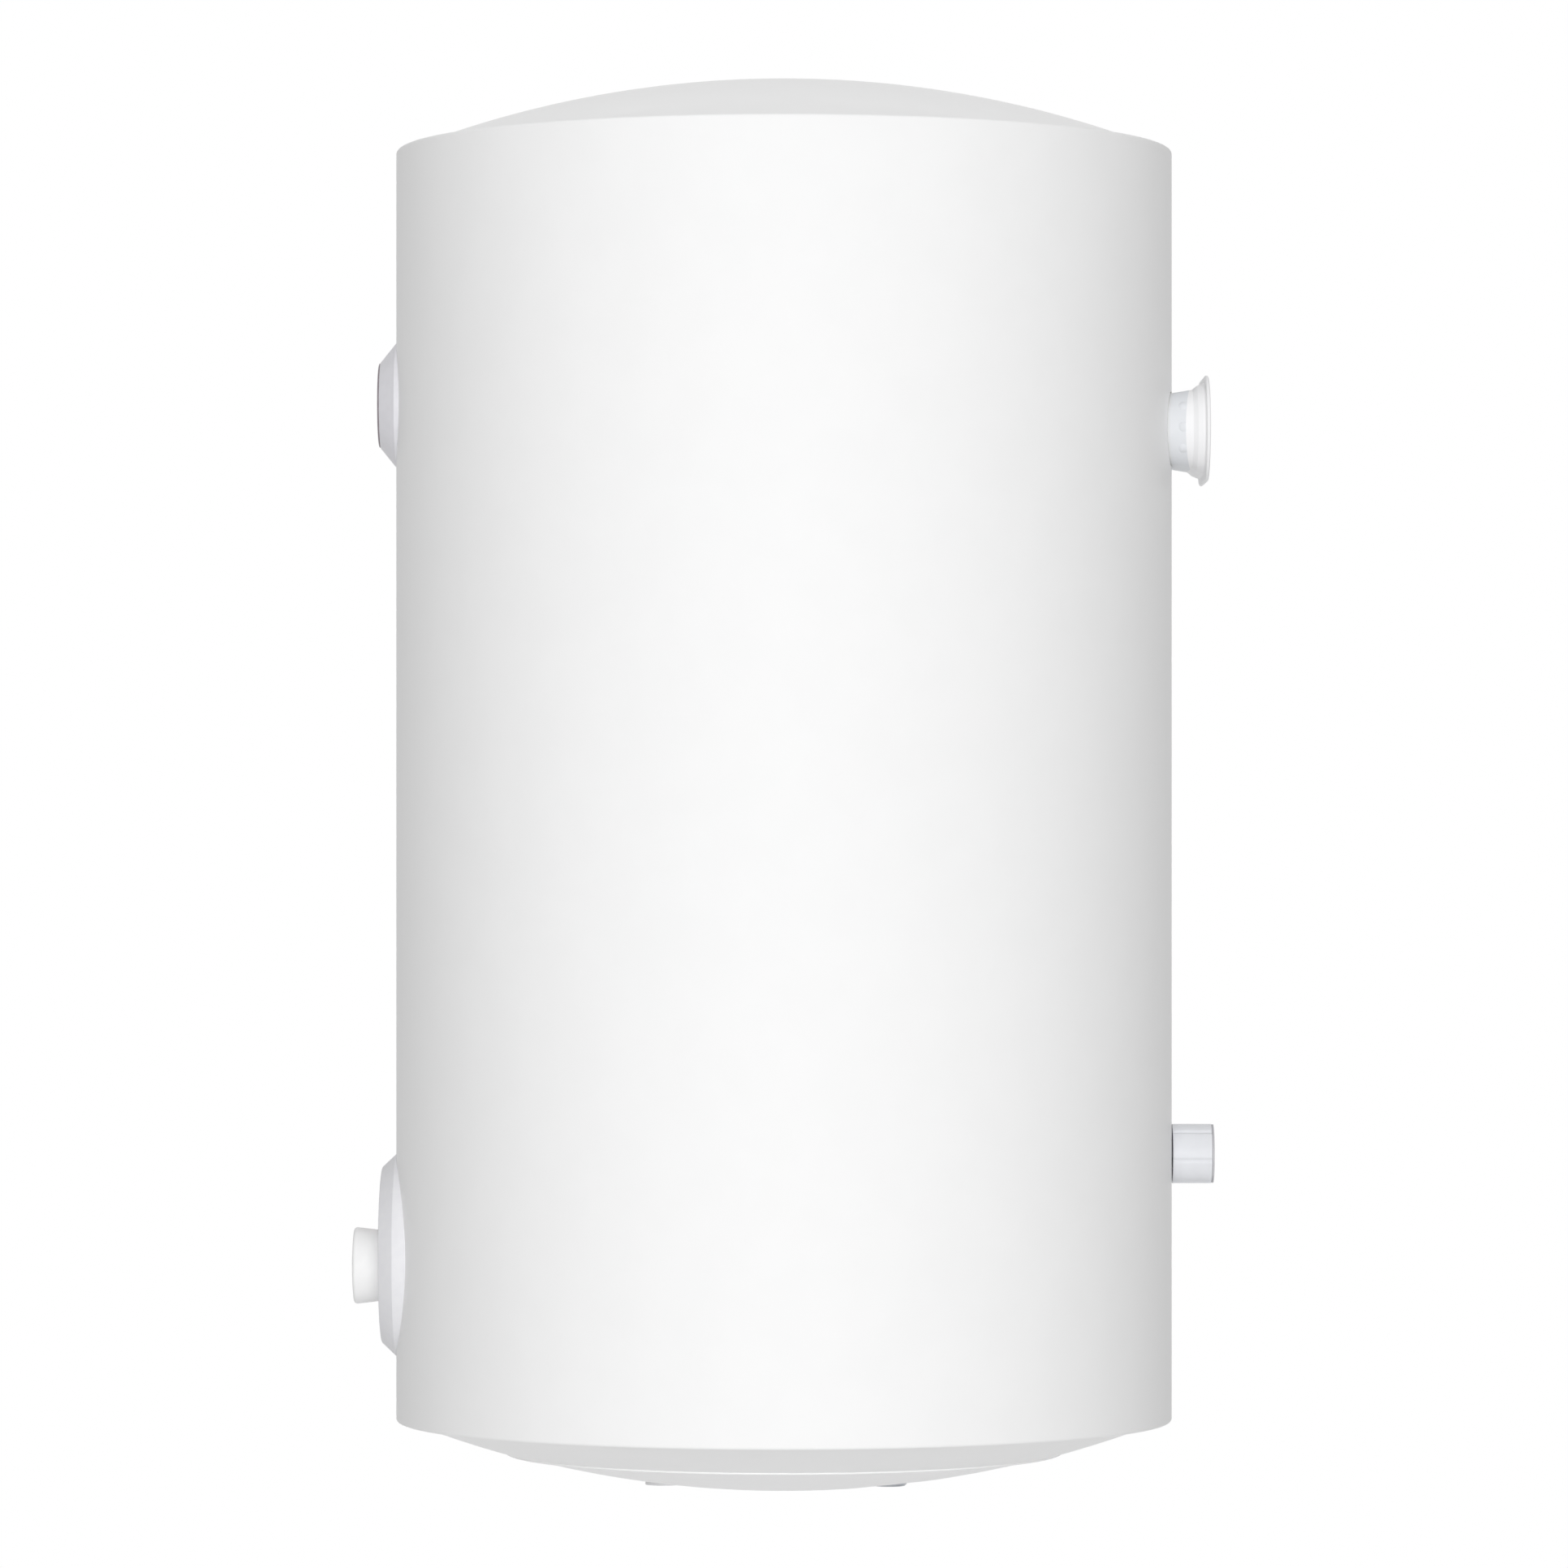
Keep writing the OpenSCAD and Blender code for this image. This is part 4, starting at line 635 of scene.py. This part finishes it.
cover_low, cover_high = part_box("service_cover")
cover_r = (cover_high.x - cover_low.x) / 2
cover_face = axis_y - cover_low.y
cover_face_r = cover_r - 0.0079
cover_wall = 0.0022
bevel_in = cover_wall * math.tan(math.radians(22.5))
skirt = math.sqrt(casing_r ** 2 - cover_r ** 2) - 0.001
cover_outline = rounded([
    (0, cover_face, 0), (cover_face_r, cover_face, 0.0016), (cover_r, casing_r, 0.001), (cover_r, skirt, 0),
    (cover_r - cover_wall, skirt, 0), (cover_r - cover_wall, casing_r - bevel_in, 0),
    (cover_face_r - bevel_in, cover_face - cover_wall, 0), (0, cover_face - cover_wall, 0)])
cover_plate = spun("service_cover_disc", cover_outline, on_front(service_z), grey_plastic)
screw_across = 0.0425
screw_up = 0.004
knob_low, knob_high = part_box("control_knob")
knob_z = (knob_low.z + knob_high.z) / 2
lamp_low, lamp_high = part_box("pilot_lens")
lamp_z = (lamp_low.z + lamp_high.z) / 2
past = 0.001
screw_pit_r = 0.0034
screw_pit_depth = 0.0026
screw_pits = [plug(screw_pit_r, cover_face - screw_pit_depth, cover_face + past,
                   on_front(service_z + screw_up, side * screw_across)) for side in (-1, 1)]
spindle_hole_r = 0.004
lamp_hole_r = 0.0041
odd_segments = 97
cut_out(cover_plate, plug(casing_r, rim_low, rim_high, upright(0), segments=512),
        plug(spindle_hole_r, casing_r, cover_face + past, on_front(knob_z), segments=odd_segments),
        plug(lamp_hole_r, casing_r, cover_face + past, on_front(lamp_z), segments=odd_segments),
        *screw_pits)
posts = [spun("service_cover_post_" + name, [Vector(p) for p in (
    (0.0016, casing_r - 0.002), (0.0044, casing_r - 0.002), (0.0044, cover_face - 0.0029),
    (0.0016, cover_face - 0.0029))], on_front(service_z + screw_up, side * screw_across), grey_plastic, 48)
    for name, side in (("left", -1), ("right", 1))]
fit(cover_plate, "heater", "grey_plastic", "service_cover")
for post in posts:
    fit(post, "heater", "grey_plastic")
dress(zinc_steel, "cover_screws")
neon = finish("neon_glass", (0.9, 0.35, 0.12), (0.8, 0.28, 0.1), (0.1, 0.2), 900, 0.00003,
              Emission_Color=(1, 0.25, 0.05, 1), Emission_Strength=0.3)
red_lens = finish("red_lens", (0.62, 0.02, 0.015), (0.52, 0.015, 0.01), (0.08, 0.16), 1500, 0.00003,
                  Transmission_Weight=0.35)
dress(neon, "pilot_lamp")
dress(red_lens, "pilot_lens")
print_ink = finish("grey_print", (0.2, 0.21, 0.23), (0.16, 0.17, 0.19), (0.5, 0.6), 2400, 0.00002)
dots = grown("cover_scale_dots", dot_tree(), on_front(knob_z) @ Matrix.Translation((0, 0, cover_face)),
             radius=0.0275, count=9, start=math.radians(60), sweep=math.radians(-240), first=0.00055,
             step=0.0001, material=print_ink)
fit(dots, "heater", "grey_plastic")

# --- Control knob -----------------------------------------------------------------------------
# A white moulded cap on the thermostat's spindle, with a rounded edge, a slightly domed end and a
# groove, filled with dark paint, that points to the scale.
knob_r = (knob_high.x - knob_low.x) / 2
knob_top = axis_y - knob_low.y
knob_foot = axis_y - knob_high.y
knob_corner = 0.002
knob_rise = 0.0012
knob_wall = 0.002
knob_sphere = (knob_r ** 2 + knob_rise ** 2) / (2 * knob_rise)
crown = arc(knob_sphere, knob_top, 0.0, knob_r - knob_corner, 16)
crown_edge = crown[-1].y
turn_in = [Vector((knob_r - knob_corner + knob_corner * math.sin(a),
                   crown_edge - knob_corner + knob_corner * math.cos(a)))
           for a in (math.radians(90) * k / 8 for k in range(1, 9))]
boss_r = 0.0055
bore_r = 0.003
bore_end = knob_top - 0.006
inside = rounded([
    (knob_r, knob_foot, 0.0004), (knob_r - knob_wall, knob_foot, 0.0004),
    (knob_r - knob_wall, crown_edge - knob_wall, 0.0015), (boss_r, crown_edge - knob_wall, 0.0005),
    (boss_r, knob_foot, 0.0003), (bore_r, knob_foot, 0), (bore_r, bore_end, 0), (0, bore_end, 0)])
knob_plastic = finish("white_knob_abs", (0.9, 0.9, 0.9), (0.885, 0.885, 0.885), (0.38, 0.46), 2400, 0.00002)
knob_cap = spun("knob_cap", crown + turn_in + inside, on_front(knob_z), knob_plastic, segments=192)
groove_l = 0.0055
groove_r = 0.0008
groove_floor = knob_top - 0.0011
groove_up = knob_r * 0.68
lengthwise = Matrix.Rotation(math.radians(90), 4, "Z")
at_groove = on_front(knob_z) @ Matrix.Translation((0, groove_up, 0)) @ lengthwise
groove = plug(groove_r, groove_floor, knob_top + 2 * past, at_groove, groove_l / 2)
cut_out(knob_cap, groove)
paint_top = knob_top - 0.0006
mark = spun("knob_mark", rounded([(0, groove_floor, 0), (groove_r, groove_floor, 0),
                                  (groove_r, paint_top, 0.0001), (0, paint_top, 0)]),
            at_groove, print_ink, 48, groove_l / 2)
fit(knob_cap, "knob", "knob_plastic", "control_knob")
fit(mark, "knob", "knob_plastic")

# --- Thermometer ------------------------------------------------------------------------------
# A bimetal dial thermometer: stem, cup, spiral, dial, pointer. A grey conical bezel hides the opening,
# and a dark glossy ring holds the domed glass in its front edge; the ring's colour is lightened part way
# as a painted highlight.


def tick_tree():
    """Bars along an arc, each pointing to its centre."""
    tree, given, out = grow_tree("dial_ticks", [
        ("Radius", "Float"), ("Count", "Int"), ("Start", "Float"), ("Sweep", "Float"), ("Size", "Vector"),
        ("Material", "Material")])
    track = tree.nodes.new("GeometryNodeCurveArc")
    track.inputs["Resolution"].default_value = 128
    points = tree.nodes.new("GeometryNodeCurveToPoints")
    bar = tree.nodes.new("GeometryNodeMeshCube")
    position = tree.nodes.new("GeometryNodeInputPosition")
    align = tree.nodes.new("FunctionNodeAlignRotationToVector")
    align.axis = "X"
    stamp = tree.nodes.new("GeometryNodeInstanceOnPoints")
    wire_up(tree, (given.outputs["Radius"], track.inputs["Radius"]),
            (given.outputs["Start"], track.inputs["Start Angle"]),
            (given.outputs["Sweep"], track.inputs["Sweep Angle"]), (track.outputs[0], points.inputs[0]),
            (given.outputs["Count"], points.inputs["Count"]), (points.outputs[0], stamp.inputs["Points"]),
            (given.outputs["Size"], bar.inputs["Size"]), (bar.outputs["Mesh"], stamp.inputs["Instance"]),
            (position.outputs[0], align.inputs["Vector"]), (align.outputs[0], stamp.inputs["Rotation"]))
    end_tree(tree, given, out, stamp.outputs[0])
    return tree


bezel_low, bezel_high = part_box("thermometer_bezel")
bezel_r = (bezel_high.x - bezel_low.x) / 2
bezel_front = axis_y - bezel_low.y
bezel_face_r = 0.025
lens_r = 0.023
bezel_wall = 0.002
bezel_skirt = math.sqrt(casing_r ** 2 - bezel_r ** 2) - 0.001
bezel_outline = rounded([
    (lens_r, bezel_front, 0.0004), (bezel_face_r, bezel_front, 0.0009), (bezel_r, casing_r, 0.0006),
    (bezel_r, bezel_skirt, 0), (bezel_r - bezel_wall, bezel_skirt, 0),
    (bezel_r - bezel_wall, casing_r - bezel_wall / 2, 0),
    (bezel_face_r - bezel_wall / 2, bezel_front - bezel_wall, 0), (lens_r, bezel_front - bezel_wall, 0)])
bezel_plastic = finish("violet_grey_abs", (0.76, 0.755, 0.79), (0.735, 0.73, 0.765), (0.3, 0.4),
                       2000, 0.00003)
cone = spun("thermometer_cone", bezel_outline, on_front(dial_z), bezel_plastic)
cut_out(cone, plug(casing_r, rim_low, rim_high, upright(0), segments=512))
fit(cone, "heater", "bezel_plastic", "thermometer_bezel")
# Dark ring colour, lightened part way to stand in for the highlight at its sides: a painted highlight.
trim_dark_and_painted_sheen = finish("dark_gloss_ring", (0.26, 0.225, 0.25), (0.21, 0.18, 0.2), (0.1, 0.16), 1500, 0.00002)
trim_w = 0.0009
trim = spun("thermometer_trim", rounded([
    (lens_r - 0.0004, bezel_front - 0.0004, 0), (bezel_face_r - 0.0005, bezel_front - 0.0004, 0),
    (bezel_face_r - 0.0005, bezel_front + trim_w, 0.0006),
    (lens_r - 0.0004, bezel_front + trim_w + 0.0002, 0.0006)], 8),
    on_front(dial_z), trim_dark_and_painted_sheen)
fit(trim, "heater", "bezel_plastic")
lens_top = axis_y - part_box("thermometer_lens")[0].y
lens_rise = lens_top - bezel_front
lens_sphere = (lens_r ** 2 + lens_rise ** 2) / (2 * lens_rise)
lens_t = 0.0014
glass_r = lens_r - 0.0001
outer_face = arc(lens_sphere, lens_top, 0.0, glass_r, 24)
inner_face = [Vector((p.x, p.y - lens_t)) for p in reversed(outer_face)]
clear = finish("clear_styrene", (0.97, 0.98, 0.98), (0.95, 0.96, 0.96), (0.02, 0.06), 900, 0.00001,
               Transmission_Weight=1.0, IOR=1.5)
glass = spun("thermometer_glass", outer_face + inner_face, on_front(dial_z), clear)
fit(glass, "heater", "clear_lens", "thermometer_lens")
dial_white = finish("dial_paint", (0.88, 0.88, 0.86), (0.85, 0.85, 0.83), (0.5, 0.6), 1500, 0.00003)
pointer_red = finish("pointer_paint", (0.65, 0.03, 0.02), (0.55, 0.025, 0.018), (0.35, 0.45), 1500, 0.00003)
bimetal = finish("rolled_bimetal", (0.6, 0.5, 0.36), (0.45, 0.38, 0.3), (0.3, 0.45),
                 900, 0.00005, Metallic=1.0)
dress(stainless, "thermometer_case", "thermometer_stem", "pointer_spindle")
dress(dial_white, "thermometer_dial")
dress(pointer_red, "thermometer_pointer")
dress(bimetal, "bimetal_spiral")
dial_face = axis_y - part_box("thermometer_dial")[0].y
on_dial = on_front(dial_z) @ Matrix.Translation((0, 0, dial_face))
scale_start = math.radians(210)
scale_sweep = math.radians(-240)
dial_ticks = tick_tree()
for name, count, length, width in (("minor", 49, 0.0012, 0.00025), ("major", 9, 0.0024, 0.0005)):
    bars = grown("dial_ticks_" + name, dial_ticks, on_dial, radius=0.0172 - length / 2, count=count,
                 start=scale_start, sweep=scale_sweep, size=(length, width, 0.0002), material=print_ink)
    fit(bars, "heater", "dial_paint")


def colour_band(name, start, stop, material):
    """A printed arc round the scale."""
    shape = bmesh.new()
    steps = 24
    rows = []
    for k in range(steps + 1):
        angle = start + (stop - start) * k / steps
        turn = Vector((math.cos(angle), math.sin(angle), 0))
        rows.append([shape.verts.new(turn * r + Vector((0, 0, h)))
                     for r, h in ((0.0178, 0), (0.0192, 0), (0.0192, 0.0001), (0.0178, 0.0001))])
    for near, far in zip(rows, rows[1:]):
        for j in range(4):
            shape.faces.new((near[j], near[(j + 1) % 4], far[(j + 1) % 4], far[j]))
    shape.faces.new(rows[0])
    shape.faces.new(rows[-1])
    bmesh.ops.recalc_face_normals(shape, faces=shape.faces)
    mesh = bpy.data.meshes.new(name)
    shape.to_mesh(mesh)
    shape.free()
    mesh.transform(on_dial)
    mesh.materials.append(material)
    piece = bpy.data.objects.new(name, mesh)
    bpy.context.scene.collection.objects.link(piece)
    fit(piece, "heater", "dial_paint")


colour_band("dial_cold_band", scale_start, math.radians(120), blue_ring)
colour_band("dial_warm_band", math.radians(118), math.radians(32), print_ink)
colour_band("dial_hot_band", math.radians(30), scale_start + scale_sweep, red_ring)

# --- Hanging bracket --------------------------------------------------------------------------
# A galvanised neck with pressed dimples comes through the casing. The white bracket is pushed over it,
# flares out in an S to a rounded flange, and hangs on two wall hooks by the slots in its back plate.
bracket_coat = finish("bracket_coat", (0.88, 0.88, 0.888), (0.86, 0.86, 0.87), (0.32, 0.4), 420, 0.00003)
dress(bracket_coat, "wall_bracket")
neck_zinc = finish("galvanised_neck", (0.78, 0.795, 0.82), (0.73, 0.75, 0.78), (0.45, 0.58), 160, 0.00004,
                   cells=True, Metallic=0.15)
dress(neck_zinc, "bracket_neck")

# --- Spacer -----------------------------------------------------------------------------------
# A glossy grey sleeve with shallow lengthwise grip grooves screws along a welded stud, and a rubber
# foot at its end rests still against the wall.
sleeve_low, sleeve_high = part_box("spacer_sleeve")
sleeve_r = (sleeve_high.z - sleeve_low.z) / 2
sleeve_start = sleeve_low.y - axis_y
sleeve_end = sleeve_high.y - axis_y
sleeve_wall = 0.0024
stud_r = 0.005
hub_r = 0.0085
pivot_r = 0.00405
cap_low = sleeve_end - 0.005
groove_count = 6
groove_turn = math.radians(11.5)
groove_half = 0.08
groove_depth = 0.0007


def grip_grooves(angle, point):
    """How far the skin is drawn in at an angle round the sleeve."""
    if point.x < sleeve_r - 0.0006:
        return 0
    pitch = 2 * math.pi / groove_count
    off = (angle - groove_turn + pitch / 2) % pitch - pitch / 2
    return -groove_depth * max(0, math.cos(math.pi / 2 * min(1, abs(off) / groove_half)))


sleeve_outline = rounded([
    (stud_r + 0.00005, sleeve_start, 0.0004), (hub_r, sleeve_start, 0.0004), (hub_r, cap_low, 0.0005),
    (sleeve_r - sleeve_wall, cap_low, 0.0005), (sleeve_r - sleeve_wall, sleeve_start, 0.0004),
    (sleeve_r, sleeve_start, 0.0005), (sleeve_r, sleeve_end, 0.0005), (pivot_r, sleeve_end, 0.0003),
    (pivot_r, cap_low, 0), (stud_r + 0.00005, cap_low, 0)])
sleeve_gloss = finish("glossy_grey_plastic", (0.76, 0.77, 0.8), (0.74, 0.75, 0.78), (0.14, 0.2),
                      1400, 0.00002)
sleeve = spun("spacer_cup", sleeve_outline, on_wall(spacer_z), sleeve_gloss, segments=240,
              swell=grip_grooves)
fit(sleeve, "spacer_screw", "spacer_plastic", "spacer_sleeve")


def rib_tree():
    """Flat ribs set round a hub."""
    tree, given, out = grow_tree("cup_ribs", [("Radius", "Float"), ("Count", "Int"), ("Size", "Vector"),
                                              ("Material", "Material")])
    ring = tree.nodes.new("GeometryNodeMeshCircle")
    rib = tree.nodes.new("GeometryNodeMeshCube")
    position = tree.nodes.new("GeometryNodeInputPosition")
    align = tree.nodes.new("FunctionNodeAlignRotationToVector")
    align.axis = "X"
    stamp = tree.nodes.new("GeometryNodeInstanceOnPoints")
    wire_up(tree, (given.outputs["Radius"], ring.inputs["Radius"]),
            (given.outputs["Count"], ring.inputs["Vertices"]),
            (ring.outputs[0], stamp.inputs["Points"]), (given.outputs["Size"], rib.inputs["Size"]),
            (rib.outputs["Mesh"], stamp.inputs["Instance"]), (position.outputs[0], align.inputs["Vector"]),
            (align.outputs[0], stamp.inputs["Rotation"]))
    end_tree(tree, given, out, stamp.outputs[0])
    return tree


rib_l = cap_low - sleeve_start - 0.002
ribs = grown("spacer_ribs", rib_tree(),
             on_wall(spacer_z) @ Matrix.Translation((0, 0, sleeve_start + 0.002 + rib_l / 2)),
             radius=(hub_r + sleeve_r - sleeve_wall) / 2, count=6,
             size=(sleeve_r - sleeve_wall - hub_r + 0.0004, 0.0016, rib_l), material=sleeve_gloss)
fit(ribs, "spacer_screw", "spacer_plastic")
foot_rubber = finish("grey_rubber", (0.6, 0.6, 0.62), (0.53, 0.53, 0.55), (0.6, 0.75), 1800, 0.00008)
dress(foot_rubber, "spacer_pad")
dress(zinc_steel, "spacer_stud", "spacer_boss")
